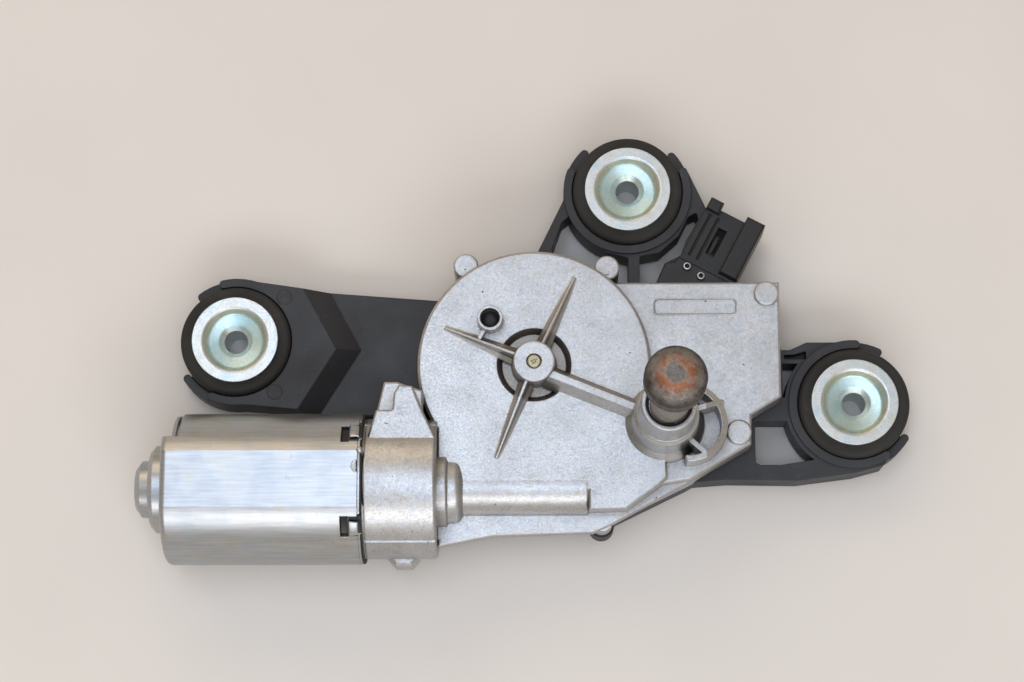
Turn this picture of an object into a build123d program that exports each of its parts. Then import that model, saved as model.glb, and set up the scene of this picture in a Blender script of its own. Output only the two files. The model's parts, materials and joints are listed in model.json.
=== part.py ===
"""Rear-window wiper motor: die-cast gearbox, drawn-steel motor can, plastic back cover with three
rubber-mounted ears, worm drive and a toothed-link mechanism that swings the output spindle.

Millimetres, +Z up out of the resting plane.  The origin is the centre of the footprint, on the plane
that the sleeves and the flat of the motor can rest on.  +X runs along the motor shaft, from the can
towards the gearbox."""

from build123d import *
import math
import os

# ---- levels above the resting plane --------------------------------------------------------------
COVER_Z = 2.0            # underside of the back cover
PARTING_Z = 11.0         # joint between back cover and gear housing
GASKET_T = 0.8
SOUTH_Z = 21.0           # low flange beside the worm tunnel
LIP_Z = 17.6             # underside of that flange's lip
LOW_Z = 25.0             # top of the rectangular end of the housing
FACE_Z = 28.5            # face of the drum
SHOULDER_Z = 37.0        # flat beside the motor flange
BOSS_Z = 34.0            # top of the wheel-axle boss
TOWER_Z = 58.0           # mouth of the spindle tower
SPINDLE_TOP = 102.0
ARM_Z = 9.0              # upper side of the cover's arms
EAR_Z = 14.0             # upper side of the ears
WALL = 2.0

# ---- motor ---------------------------------------------------------------------------------------
AXIS_Y = -43.2
AXIS_Z = 20.6
CAN_R = 22.2
CAN_WALL = 1.5
CAN_X = (-105.3, -48.3)
NOTCH_X = -100.2
NOTCH_Y = -30.4
CAP_X = (-110.0, -114.5)
CAP_R = (12.85, 8.3)
CORE_R = 16.4
CORE_X = (-94.0, -62.0)
MAGNET_R = (17.1, 20.1)
SHAFT_R = 3.0
COMMUTATOR_R = 9.5
COMMUTATOR_X = (-54.0, -37.0)
SLOTS = 10
BRUSH_PLATE_X = (-35.6, -33.4)
FLANGE_X = (-47.0, -26.0)
ARCH_R = 20.6
DOME_R = 11.4
TUNNEL_R = 8.0
TUNNEL_X = 18.4
PAD_R = 4.5
PAD_X = (15.3, 16.6)

# ---- worm drive ----------------------------------------------------------------------------------
WHEEL = (2.5, -7.5)
DRUM_R = 34.4
CHAMBER_R = 32.8
TEETH = 52
MODULE = 1.2
PRESSURE_ANGLE = 20.0
WHEEL_R = MODULE * TEETH / 2
WORM_R = WHEEL[1] - AXIS_Y - WHEEL_R
WORM_X = (-9.5, 14.5)
WHEEL_Z = (17.1, 24.1)
BACKLASH = 0.22
AXLE_R = 2.25

# ---- toothed-link mechanism ----------------------------------------------------------------------
SPINDLE = (40.65, -24.7)
PINION_TEETH = 14
SECTOR_TEETH = 28
LINK_MODULE = 1.0
PINION_R = LINK_MODULE * PINION_TEETH / 2
SECTOR_R = LINK_MODULE * SECTOR_TEETH / 2
ROCKER_R = PINION_R + SECTOR_R
CRANK_R = 7.0
SWEEP = 115.0            # swing of the spindle, in degrees
ROCKER_MID = 96.0        # direction of the rocker at half swing
ROCKER_Z = (7.6, 9.6)
LINK_Z = (10.2, 14.2)
SECTOR_SPAN = 82.0

# ---- spindle -------------------------------------------------------------------------------------
SPINDLE_R = 5.5
BUSH_R = 6.65
TOWER_R = (9.4, 7.75)
HEAD_R = 8.6

# ---- mounts: three sleeved rubber grommets --------------------------------------------------------
# centre, and the directions between which the ear's lower and upper levels are open
EARS = {
    "left": ((-87.25, 2.75), (127.0, 216.0), (103.0, 248.0)),
    "top": ((30.85, 49.1), (41.0, 135.0), (20.0, 160.0)),
    "right": ((97.85, -16.7), (-33.0, 64.0), (-59.0, 87.0)),
}
JAW_Z = 10.6             # upper side of the jaws' lower level
SLEEVE_BORE = 3.5
SLEEVE_FLANGE_R = 12.9
SLEEVE_H = 17.0
SLEEVE_WALL = 12.9       # length of the plain bore
GROMMET_R = 16.6
GROMMET_Z = (1.0, 15.4)
GROOVE_R = 11.6
WEB_Z = (6.4, 9.6)
EAR_R = (16.9, 19.4)

PLUG = Pos(52, 24, 0) * Rot(0, 0, 62)   # where the connector stands, and which way it faces

RUNNING = 0.04           # radial clearance of a running fit
SEAT = 0.02              # radial gap where a piece sits fast on another

CENTRE = (Align.CENTER, Align.CENTER, Align.MIN)


# ---- where the linkage stands at rest --------------------------------------------------------------
def polar(centre, radius, degrees):
    """The point at a distance and direction from a centre."""
    turn = math.radians(degrees)
    return (centre[0] + radius * math.cos(turn), centre[1] + radius * math.sin(turn))


def heading(start, end):
    """The direction from one point to another, in degrees."""
    return math.degrees(math.atan2(end[1] - start[1], end[0] - start[0]))


ROCKER_REST = ROCKER_MID - SWEEP / 6
SECTOR_PIN = polar(SPINDLE, ROCKER_R, ROCKER_REST)
CRANK_PIN = polar(WHEEL, CRANK_R, heading(WHEEL, SECTOR_PIN))


# ---- helpers ---------------------------------------------------------------------------------------
def polygon(points, corner=0.0):
    """A closed outline, its corners rounded if a radius is given."""
    face = Sketch() + make_face(Polyline(*points, close=True))
    return fillet(face.vertices(), corner) if corner else face


def disc(centre, radius):
    return Pos(*centre) * Circle(radius)


def prism(outline, bottom, top):
    """An outline of the XY plane raised between two levels."""
    return Pos(0, 0, bottom) * extrude(outline, top - bottom)


def post(centre, radius, bottom, top):
    return Pos(*centre, bottom) * Cylinder(radius, top - bottom, align=CENTRE)


def tube(centre, outer, inner, bottom, top):
    return post(centre, outer, bottom, top) - post(centre, inner, bottom - 1, top + 1)


def profile(points, soft):
    """An outline whose corners listed in `soft`, as {index: radius}, are rounded."""
    face = Sketch() + make_face(Polyline(*points, close=True))
    for index, radius in soft.items():
        corner = min(face.vertices(), key=lambda v: math.dist((v.X, v.Y), points[index]))
        face = fillet(corner, radius)
    return face


def turned(points, centre=(0, 0), soft={}):
    """A body turned about a vertical axis from (radius, z) points."""
    return Pos(*centre, 0) * revolve(Plane.XZ * profile(points, soft), Axis.Z)


def turned_x(points, soft={}):
    """A body turned about the motor's axis from (x, radius) points."""
    return Pos(0, AXIS_Y, AXIS_Z) * revolve(profile(points, soft), Axis.X)


def eased(solid, width):
    """A prism with a small chamfer round its top."""
    return chamfer(solid.edges().group_by(Axis.Z)[-1], width)


def axial(radius, start, end):
    """A cylinder on the motor's axis between two x positions."""
    return Pos(start, AXIS_Y, AXIS_Z) * Rot(0, 90, 0) * Cylinder(radius, end - start, align=CENTRE)


def block(x, y, z):
    """A box from three (low, high) pairs."""
    return Pos(x[0], y[0], z[0]) * Box(x[1] - x[0], y[1] - y[0], z[1] - z[0], align=(Align.MIN,) * 3)


def bar(start, end, width):
    """A straight strip with round ends between two points of the XY plane."""
    length = math.dist(start, end)
    turn = math.degrees(math.atan2(end[1] - start[1], end[0] - start[0]))
    strip = Pos(*start) * Rot(0, 0, turn) * Rectangle(length, width, align=(Align.MIN, Align.CENTER))
    return strip + disc(start, width / 2) + disc(end, width / 2)


def tooth_flank(teeth, module, radius, thinning):
    """Half the angle that an involute tooth takes up at a radius, in degrees."""
    pitch = module * teeth / 2
    base = pitch * math.cos(math.radians(PRESSURE_ANGLE))

    def involute(angle):
        return math.tan(angle) - angle

    at_radius = math.acos(min(1.0, base / max(radius, base)))
    half = math.pi / (2 * teeth) - thinning / (2 * pitch)
    return math.degrees(half + involute(math.radians(PRESSURE_ANGLE)) - involute(at_radius))


def gear_outline(teeth, module, thinning, first=0.0, addendum=0.95, dedendum=1.2):
    """The outline of a spur gear with one tooth centred on the direction `first`."""
    pitch = module * teeth / 2
    radii = (pitch - dedendum * module, pitch, pitch + addendum * module)
    points = []
    for index in range(teeth):
        middle = first + 360.0 * index / teeth
        halves = [tooth_flank(teeth, module, radius, thinning) for radius in radii]
        points += [polar((0, 0), r, middle - h) for r, h in zip(radii, halves)]
        points += [polar((0, 0), r, middle + h) for r, h in reversed(list(zip(radii, halves)))]
    return points


# ---- outlines shared by the housing, gasket and cover -------------------------------------------------
SCREWS = [(-17.75, 23.0), (24.2, 22.3), (71.4, 14.4), (62.6, -27.3), (22.4, -52.6), (-18.5, -52.6)]
SCREW_BOSS_R = 3.7
SCREW_TOP = 17.5
PLATE = [(20, 18.1), (75.3, 18.1), (75.3, -16.5), (66.4, -21.9), (66.2, -30.6), (48.1, -41.2),
         (25.6, -52.2), (19.2, -54.2), (-10.2, -55.0), (-25.9, -58.2), (-25.9, -24), (20, -20)]
LIP = [(66.2, -30.6), (48.1, -41.3), (25.1, -53.9), (19.6, -56.3), (4.7, -56.8), (-10.2, -57.3),
       (-25.9, -60.4), (-25.9, -40), (40, -30)]


def body_outline():
    """Outline of the gearbox where housing and cover meet."""
    outline = disc(WHEEL, DRUM_R) + polygon(PLATE)
    for screw in SCREWS[:4]:
        outline += disc(screw, SCREW_BOSS_R)
    return outline


def chamber_outline():
    """Outline of the space for the wheel and the linkage."""
    inner = [(20, 16), (66, 16), (66, 9), (73.2, 9), (73.2, -15.4), (64.2, -20.8), (57, -24), (57, -33.5),
             (47.2, -39.2), (44, -40.8), (-10, -40.8), (-24, -24), (20, -20)]
    room = disc(WHEEL, CHAMBER_R) + polygon(inner)
    for screw in SCREWS[:4]:
        room -= disc(screw, SCREW_BOSS_R + 0.3)
    return room


def worm_room_outline():
    """Outline of the grease space under the worm."""
    return polygon([(-10, -36), (-10, -52), (14, -52), (14, -36)])


def motor_side():
    """Where the motor flange stands beside the cover."""
    return polygon([(-60, -80), (-25.7, -80), (-25.7, -24.5), (-60, -24.5)])


# ---- gear housing ----------------------------------------------------------------------------------
def tapered_rib(tip, height, width, foot):
    """A cast rib from the axle boss, thinning and falling to its tip, with a sharp crest."""
    reach = math.dist(WHEEL, tip)
    turn = math.degrees(math.atan2(tip[1] - WHEEL[1], tip[0] - WHEEL[0]))
    faces = []
    for along, tall, crest, base in ((4.5, height, width, foot), (reach, 0.3, 0.5, 1.8)):
        across = Plane(origin=(along, 0, FACE_Z - 1), z_dir=(1, 0, 0), x_dir=(0, 1, 0))
        right = [(base / 2, 0), (base / 2, 1), (crest / 2 + base * 0.14, 1 + tall * 0.3), (crest / 2, 1 + tall)]
        left = [(-y, z) for y, z in reversed(right)]
        faces.append(across * make_face(Polyline(*right, *left, close=True)))
    rib = loft(faces, ruled=True)
    return Pos(*WHEEL, 0) * Rot(0, 0, turn) * rib


def strut_rib():
    """Thick cast rib from the axle boss to the tower, with drafted sides."""
    foot = [(6.2, -7.1), (34.4, -18.5), (33.0, -25.4), (4.2, -13.8)]
    crest = [(6.2, -9.5), (34.4, -20.9), (33.7, -22.8), (5.4, -11.4)]
    levels = ((FACE_Z - 1, foot), (BOSS_Z - 1.0, crest))
    return loft([Pos(0, 0, z) * make_face(Polyline(*points, close=True)) for z, points in levels], ruled=True)


def spindle_tower():
    """Conical tower with a collar and a fan-shaped gusset on its outer side."""
    collar = FACE_Z + 13.0
    tower = turned([(0, LOW_Z - 2), (TOWER_R[0] + 2.6, LOW_Z - 2), (TOWER_R[0] + 2.2, FACE_Z - 0.2),
                    (TOWER_R[0] + 0.5, FACE_Z + 2.6), (TOWER_R[0], collar), (TOWER_R[0] - 0.9, collar + 1.0),
                    (TOWER_R[1] + 0.2, TOWER_Z), (0, TOWER_Z)], SPINDLE, {6: 0.6, 5: 0.8, 3: 1.6})
    fan = (47.5, -26.0)
    arc = disc(fan, 11.4) - disc(fan, 9.6)
    keep = polygon([(44, -11), (64, -11), (64, -40), (47.5, -40), (46, -34)])
    wall = prism(arc & keep, LOW_Z - 1, FACE_Z + 6.5)
    slope = Pos(SPINDLE[0] + 8, SPINDLE[1], FACE_Z + 8.2) * Rot(0, 24, 0) * Box(40, 40, 6, align=CENTRE)
    webs = prism(bar(SPINDLE, (57.2, -19.6), 1.5) + bar(SPINDLE, (52.6, -35.2), 1.5), LOW_Z - 1, FACE_Z + 6.5)
    seam = block((SPINDLE[0] - 0.3, SPINDLE[0] + 0.3), (SPINDLE[1] - TOWER_R[0] - 0.2, SPINDLE[1]),
                 (LOW_Z, collar - 0.5))
    return tower + ((wall + webs) - slope) + seam


def motor_flange():
    """Arched flange that carries the motor can, with its shoulder, bearing dome and bolt lug."""
    start, end = FLANGE_X
    arch = fillet(axial(ARCH_R, start, end).edges(), 0.9)
    skirt = block((start, end), (-60.6, -26.0), (6.0, 32.4))
    skirt = fillet(skirt.edges().filter_by(Axis.Z).group_by(Axis.Y)[0], 0.8)
    spigot = Pos(start - 7.0, 0, 0) * extrude(can_section(CAN_R - CAN_WALL - 0.2, AXIS_Z - CAN_WALL - 0.2), 7.5)
    shoulder = prism(polygon([(-46.8, -34), (-43.4, -22.4), (-38.6, -22.4), (-38.3, -17.6), (-36.7, -15.0),
                              (-32.8, -15.4), (-30.6, -21.0), (-26.0, -30.6), (-26.0, -34)], 0.6),
                     PARTING_Z, SHOULDER_Z)
    shoulder = eased(shoulder, 0.5)
    step = prism(polygon([(-46.8, -30), (-43.5, -22.4), (-41.4, -13.4), (-37.6, -13.4), (-30, -16),
                          (-30, -30)], 0.6), PARTING_Z, SHOULDER_Z - 4)
    step = eased(step, 0.5)
    dome = turned_x([(end - 1, 0), (end - 1, DOME_R), (end + 2.6, DOME_R), (end + 3.2, DOME_R - 1.0),
                     (end + 6.2, DOME_R - 1.2), (end + 8.3, DOME_R - 4.5), (end + 8.3, 0)],
                    {2: 0.4, 4: 2.0, 5: 1.6})
    dome &= block((end - 1, end + 9), (-60, -20), (PARTING_Z, 60))
    lug = prism(polygon([(-41.0, -56), (-40.7, -63.4), (-38.3, -65.9), (-33.4, -65.9), (-31.4, -63.4),
                         (-31.4, -56)]), PARTING_Z, 20.5)
    lug = eased(lug, 1.0)
    ledge = block((start + 1.5, end), (-62.0, -55), (PARTING_Z, 19.0))
    return (arch + skirt + spigot + shoulder + step + dome + lug + ledge) - block((-60, 0), (-70, 0), (-10, 0.4))


def gear_housing():
    """Die-cast gearbox shell, open underneath, with the worm tunnel and the motor flange."""
    drum = post(WHEEL, DRUM_R, PARTING_Z, FACE_Z)
    drum = eased(drum, 0.8)
    plateau = prism(polygon([(-25.9, -20), (-25.9, -44.7), (TUNNEL_X, -44.7), (TUNNEL_X, -50.5),
                             (29.4, -50.2), (39.3, -42.9), (41.2, -41.0), (41.0, -20)]), PARTING_Z, FACE_Z)
    plateau = eased(plateau, 0.5)
    shell = prism(polygon(PLATE[:6] + [(30, -44), (20, -20)]), PARTING_Z, LOW_Z)
    shell = eased(shell, 0.6)
    shell += prism(polygon(PLATE), PARTING_Z, SOUTH_Z)
    shell += eased(prism(polygon(LIP), LIP_Z, SOUTH_Z), 0.5)
    tunnel = fillet(axial(TUNNEL_R, -24, TUNNEL_X).edges().group_by(Axis.X)[-1], 0.8)
    shell += plateau + drum + tunnel + motor_flange()
    for screw in SCREWS[:4]:
        shell += eased(post(screw, SCREW_BOSS_R, PARTING_Z, LOW_Z + 1.2), 0.4)
    for screw in SCREWS[4:]:
        shell += post(screw, SCREW_BOSS_R - 0.6, PARTING_Z, SOUTH_Z - 1)
    shell -= prism(chamber_outline(), PARTING_Z - 20, LOW_Z - WALL)
    shell -= prism(worm_room_outline(), PARTING_Z - 20, SOUTH_Z - WALL - 0.5)
    shell += post(SPINDLE, 9.0, LOW_Z - 6, LOW_Z) + spindle_tower()
    shell -= post(WHEEL, CHAMBER_R, PARTING_Z - 20, FACE_Z - WALL)
    shell -= axial(TUNNEL_R - 1.7, FLANGE_X[1] + 4.5, PAD_X[0] - 0.3) + axial(PAD_R + 0.02, PAD_X[0] - 1, PAD_X[1])
    shell += post(WHEEL, 12.6, FACE_Z - 3.2, FACE_Z - 0.5)
    floor = FACE_Z - 2.2
    shell -= turned([(0, floor), (9.4, floor), (11.0, FACE_Z), (11.0, FACE_Z + 9), (0, FACE_Z + 9)], WHEEL)
    shell += turned([(0, FACE_Z - 3.2), (6.8, FACE_Z - 3.2), (6.1, BOSS_Z), (0, BOSS_Z)], WHEEL, {2: 0.5})
    shell += tapered_rib((14.5, 18.7), 4.8, 0.8, 5.0) + tapered_rib((-23.8, 3.6), 4.8, 0.8, 5.4)
    shell += tapered_rib((-8.6, -35.3), 4.8, 0.8, 5.0) + strut_rib()
    shell += post((-10.4, 5.5), 3.7, FACE_Z - 1, BOSS_Z) - post((-10.4, 5.5), 2.9, FACE_Z + 0.5, BOSS_Z + 1)
    shell += prism(bar((-12.2, 2.4), (-13.4, 0.2), 1.2), FACE_Z - 1, FACE_Z + 3)
    label = polygon([(38.3, 8.5), (62.2, 8.5), (62.2, 12.8), (38.3, 12.8)], 1.0)
    shell -= prism(label, LOW_Z - 0.35, LOW_Z + 1)
    # bores: motor end, front bearing, wheel axle, spindle and cover screws
    shell -= axial(18.4, FLANGE_X[0] - 9, FLANGE_X[1] - 3.5)
    shell -= axial(8.5, FLANGE_X[1] - 4, FLANGE_X[1] + 5.0)
    shell -= post(WHEEL, AXLE_R, 0, BOSS_Z + 1)
    shell -= post(SPINDLE, BUSH_R, 0, TOWER_Z + 1)
    for screw in SCREWS:
        shell -= post(screw, 1.6, 0, SCREW_TOP + 0.5)
    return shell


# ---- back cover with its three ears -------------------------------------------------------------------
PLUG_POSTS = [(48.6, 25.2), (52.7, 22.2)]


def ear_mouth(name, level, reach=40.0):
    """The wedge through which the grommet slides into its ear, at the lower (1) or upper (2) level."""
    centre = EARS[name][0]
    start, end = EARS[name][level]
    middle = (start + end) / 2
    return polygon([centre, polar(centre, reach, start), polar(centre, reach, middle),
                    polar(centre, reach, end)])


def ear_rings(name):
    """The two levels of an ear's wall, and the web that sits in the grommet's groove."""
    centre = EARS[name][0]
    ring = disc(centre, EAR_R[1]) - disc(centre, EAR_R[0])
    web = disc(centre, EAR_R[0] + 0.5) - disc(centre, GROOVE_R)
    rings = prism(web - ear_mouth(name, 1), *WEB_Z)
    for level, top in ((1, JAW_Z), (2, EAR_Z)):
        rings += prism(ring - ear_mouth(name, level), COVER_Z, top)
        for side in EARS[name][level]:
            tip = polar(centre, sum(EAR_R) / 2, side)
            rings += post(tip, (EAR_R[1] - EAR_R[0]) / 2, COVER_Z, top)
    return rings


def left_ear():
    """Thick plate round the left ear, falling to the arm in a chevron-shaped slope."""
    centre = EARS["left"][0]
    north = [(-91.5, 21.4), (-86.2, 21.9), (-78.1, 20.7)]
    south = [(-80.0, -16.9), (-88.9, -16.2), (-94.2, -15.3)]
    foot = polygon([centre, *north, (-59.3, 18.7), (-49.7, 1.0), (-61.9, -18.7), *south])
    top = polygon([centre, *north, (-67.4, 19.1), (-57.1, 0.4), (-68.5, -18.0), *south])
    slope = loft([Pos(0, 0, ARM_Z) * foot.face(), Pos(0, 0, EAR_Z) * top.face()], ruled=True)
    return prism(foot, COVER_Z, ARM_Z) + slope


def top_ear():
    """Struts, web and jaws round the top ear."""
    centre = EARS["top"][0]
    plate = polygon([(1.5, 26.0), (3.8, 30.8), (15.4, 54.8), centre, (49.3, 55.6), (54.5, 44.4), (57.5, 38.0),
                     (53.5, 17.0), (4.5, 17.0)])
    plate -= polygon([(7.9, 31.6), (10.9, 39.8), (13.0, 41.5), (15.5, 40.6), (19.2, 34.6), (24.0, 30.4),
                      (31.0, 28.6), (31.0, 16.0), (7.0, 16.0)], 0.5)
    plate -= polygon([(34.4, 16.0), (34.4, 29.0), (40.4, 30.2), (46.3, 35.4), (49.3, 41.4), (51.9, 42.7),
                      (52.4, 40.5), (48.4, 33.6), (46.8, 29.2), (42.0, 26.8), (39.4, 20.9), (39.4, 16.0)], 0.5)
    jaws = polygon([(14.6, 52.6), (17.6, 61.3), (20.4, 61.2), centre]) + polygon([centre, (43.1, 61.2),
                                                                                (46.4, 60.8), (49.3, 55.6)])
    return prism(plate, COVER_Z, EAR_Z - 1) + prism(jaws, COVER_Z, JAW_Z)


def right_ear():
    """Arm and plate of the right ear, with its two windows."""
    centre = EARS["right"][0]
    plate = polygon([(73, -0.2), (79.1, -0.1), (84.2, 2.2), (98.7, 2.2), centre, (107.8, -33.0), (106.2, -35.2),
                     (97.7, -37.5), (80.7, -39.7), (60.0, -39.4), (47.0, -40.4), (64, -28), (64, -14), (73, -14)])
    windows = polygon([(76.8, -4.2), (86, -4.2), (82, -14.5), (76.8, -14.5)])
    windows += polygon([(68.3, -21.6), (82, -21.6), (90, -33.0), (84.5, -33.6), (75.7, -35.0), (69.7, -35.0),
                        (68.3, -34.1)])
    windows -= disc(centre, 20.6)
    pocket = polygon([(77.4, -1.5), (80.5, -1.4), (84.0, -0.4), (84.0, -2.9), (77.4, -2.9)], 0.3)
    return prism(plate - windows, COVER_Z, EAR_Z - 1) - prism(pocket, ARM_Z, EAR_Z)


def back_cover():
    """Moulded cover closing the gearbox, with three arms that end in the open ears."""
    tray = body_outline()
    for screw in SCREWS[4:]:
        tray += disc(screw, SCREW_BOSS_R)
    tray = prism(tray - motor_side(), COVER_Z, PARTING_Z - GASKET_T)
    left_arm = polygon([(-59.3, 18.7), (-24, 16.0), (-26, -19.6), (-61.9, -18.7), (-57.4, 0.7)])
    arms = prism(left_arm, COVER_Z, ARM_Z) + left_ear() + top_ear() + right_ear()
    plug_base = polygon([(39.4, 17), (63.7, 17), (63.7, 21), (58.6, 31), (46.8, 29), (45.0, 26.9),
                         (42.2, 26.6), (39.5, 20.9)])
    arms += eased(prism(plug_base, COVER_Z, EAR_Z + 1), 0.4)
    for name, (centre, lower, upper) in EARS.items():
        arms -= post(centre, EAR_R[0], 0, 30)
        arms += ear_rings(name)
    for spot in PLUG_POSTS:
        arms += tube(spot, 1.15, 0.6, EAR_Z + 0.5, EAR_Z + 1.9)
    arms -= prism(body_outline(), PARTING_Z - GASKET_T, 60)
    cover = arms + tray
    room = chamber_outline() + worm_room_outline()
    cover -= prism(offset(room, -0.4), COVER_Z + WALL, PARTING_Z + 1)
    cover -= PLUG * connector_envelope() + connector_pins()
    # coring of the arms from underneath, which leaves their walls and ribs
    cores = polygon([(-64, 15.6), (-46, 13.8), (-46, 0), (-55, 0)], 1.0)
    cores += polygon([(-43, 13.4), (-34, 12.6), (-34, 0), (-43, 0)], 1.0)
    cores += polygon([(-55, -2.2), (-46, -2.2), (-46, -16.0), (-62, -16.0)], 1.0)
    cores += polygon([(-43, -2.2), (-34, -2.2), (-34, -16.6), (-43, -16.6)], 1.0)
    cover -= prism(cores, COVER_Z - 1, ARM_Z - WALL)
    for screw in SCREWS:
        cover -= post(screw, 1.9, 0, PARTING_Z)
        cover -= post(screw, 3.0, 0, COVER_Z + 1.6)
    return cover


def housing_gasket():
    """Thin seal between the housing and the back cover."""
    ring = offset(body_outline(), -0.3) - chamber_outline() - worm_room_outline() - motor_side()
    for screw in SCREWS:
        ring -= disc(screw, 1.9)
    return prism(ring, PARTING_Z - GASKET_T, PARTING_Z)


def cover_screws():
    """Self-forming screws that hold the cover, driven from underneath."""
    screws = Part()
    for screw in SCREWS:
        head = post(screw, 2.9, COVER_Z + 0.1, COVER_Z + 1.6) - post(screw, 1.1, COVER_Z - 1, COVER_Z + 1.0)
        screws += head + post(screw, 1.5, COVER_Z + 1.6, SCREW_TOP)
    return screws


# ---- grommets and sleeves --------------------------------------------------------------------------
def grommet(centre):
    """Rubber bush whose groove grips the web of an ear."""
    low, high = GROMMET_Z
    web = WEB_Z
    return turned([(6.0, low), (GROMMET_R, low), (GROMMET_R, web[0] - 0.1), (GROOVE_R - 0.1, web[0] - 0.1),
                   (GROOVE_R - 0.1, web[1] + 0.1), (GROMMET_R, web[1] + 0.1), (GROMMET_R, high), (9.8, high),
                   (8.1, 12.8), (6.0, 12.3)], centre, {6: 1.7, 1: 1.2})


def sleeve(centre):
    """Pressed steel sleeve with a dished upper flange, and a bore for an M6 screw."""
    top = SLEEVE_H
    return turned([(SLEEVE_BORE, 0), (9.5, 0), (9.5, 1.0), (5.9, 1.0), (5.9, 12.4), (8.0, 12.9), (9.7, 15.4),
                   (SLEEVE_FLANGE_R, 15.4), (SLEEVE_FLANGE_R, top), (9.6, top), (8.3, top - 2.2),
                   (5.0, top - 2.9), (SLEEVE_BORE, SLEEVE_WALL)], centre, {9: 1.2, 10: 1.0, 11: 0.8})


# ---- motor can and what is in it ------------------------------------------------------------------------
def can_section(radius, flat):
    """Round section with a flat above and below."""
    section = Circle(radius) & Rectangle(flat * 2, radius * 3)
    return Plane(origin=(0, AXIS_Y, AXIS_Z), z_dir=(1, 0, 0), x_dir=(0, 0, 1)) * section


def motor_can():
    """Deep-drawn steel can with two flats, a stepped bearing end and crimp tabs."""
    start, end = CAN_X
    shell = Pos(start, 0, 0) * extrude(can_section(CAN_R, AXIS_Z), end - start)
    shell = fillet(shell.edges().group_by(Axis.X)[0], 1.8)
    shell += turned_x([(start + 2, 0), (start + 2, CAP_R[0]), (CAP_X[0] + 1.4, CAP_R[0]),
                       (CAP_X[0], CAP_R[0] - 1.6), (CAP_X[0], CAP_R[1] + 0.3), (CAP_X[1] + 1.6, CAP_R[1]),
                       (CAP_X[1], CAP_R[1] - 2.2), (CAP_X[1], 0)])
    # step in the closed end, on the side away from the cable, and the rib pressed into it
    step = block((start - 1, NOTCH_X), (NOTCH_Y, AXIS_Y + 30), (AXIS_Z - 30, AXIS_Z + 30))
    shell -= step
    shell += (axial(CAN_R - 2.0, start + 3.0, NOTCH_X + 0.5) + axial(CAN_R - 0.7, start + 3.0, NOTCH_X - 1.1)) & step
    inside = Pos(start + CAN_WALL, 0, 0) * extrude(can_section(CAN_R - CAN_WALL, AXIS_Z - CAN_WALL), 70)
    shell -= inside - block((start - 1, NOTCH_X + 1.0), (NOTCH_Y - CAN_WALL, AXIS_Y + 30), (-10, AXIS_Z + 30))
    shell -= axial(CAP_R[0] - CAN_WALL, CAP_X[0] + CAN_WALL, start + 5)
    shell -= axial(CAP_R[1] - CAN_WALL, CAP_X[1] + CAN_WALL, CAP_X[0] + 3)
    # windows of the crimp, and the tongues bent into the flange beside them
    for turn in (38, 142, 218, 322):
        window = Pos(0, AXIS_Y, AXIS_Z) * Rot(turn, 0, 0) * block((end - 5.0, end - 2.6), (-3.4, 3.4), (15, 30))
        shell -= window
    for turn in (38, 142, 218, 322):
        tongue = Pos(0, AXIS_Y, AXIS_Z) * Rot(turn, 0, 0) * block((end - 1, end + 1.1), (-2.4, 2.4),
                                                                  (CAN_R - 1.5, CAN_R - 0.1))
        shell += tongue
    return shell


def field_magnets():
    """Two ferrite shells against the wall of the can."""
    ring = axial(MAGNET_R[1], -99, -58) - axial(MAGNET_R[0], -100, -57)
    keep = block((-110, -40), (AXIS_Y - 30, AXIS_Y + 30), (AXIS_Z - 13.6, AXIS_Z + 13.6))
    return ring & keep


def magnet_clips():
    """Spring clips that wedge the magnets apart, above and below the armature."""
    strip = axial(18.9, -97, -60) - axial(18.1, -98, -59)
    top = block((-110, -40), (AXIS_Y - 5, AXIS_Y + 5), (AXIS_Z, AXIS_Z + 30))
    bottom = block((-110, -40), (AXIS_Y - 5, AXIS_Y + 5), (AXIS_Z - 30, AXIS_Z))
    return (strip & top) + (strip & bottom)


def rear_bearing():
    """Sintered bearing in the small cap of the can."""
    end = CAP_X[1] + CAN_WALL + 1.2
    body = turned_x([(end, SHAFT_R + RUNNING), (end, 5.6), (end + 1.6, CAP_R[1] - CAN_WALL - 0.02),
                     (end + 4.2, CAP_R[1] - CAN_WALL - 0.02), (end + 5.8, 5.6), (end + 5.8, SHAFT_R + RUNNING)])
    return body


def front_bearing():
    """Sintered bearing in the dome of the gear housing."""
    start = FLANGE_X[1] - 2.2
    return turned_x([(start, SHAFT_R + RUNNING), (start, 7.2), (start + 1.4, 8.48), (start + 5, 8.48),
                     (start + 6.4, 7.2), (start + 6.4, SHAFT_R + RUNNING)])


def thrust_pad():
    """Pad at the blind end of the tunnel that takes the end load of the worm."""
    return axial(PAD_R, *PAD_X)


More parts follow.
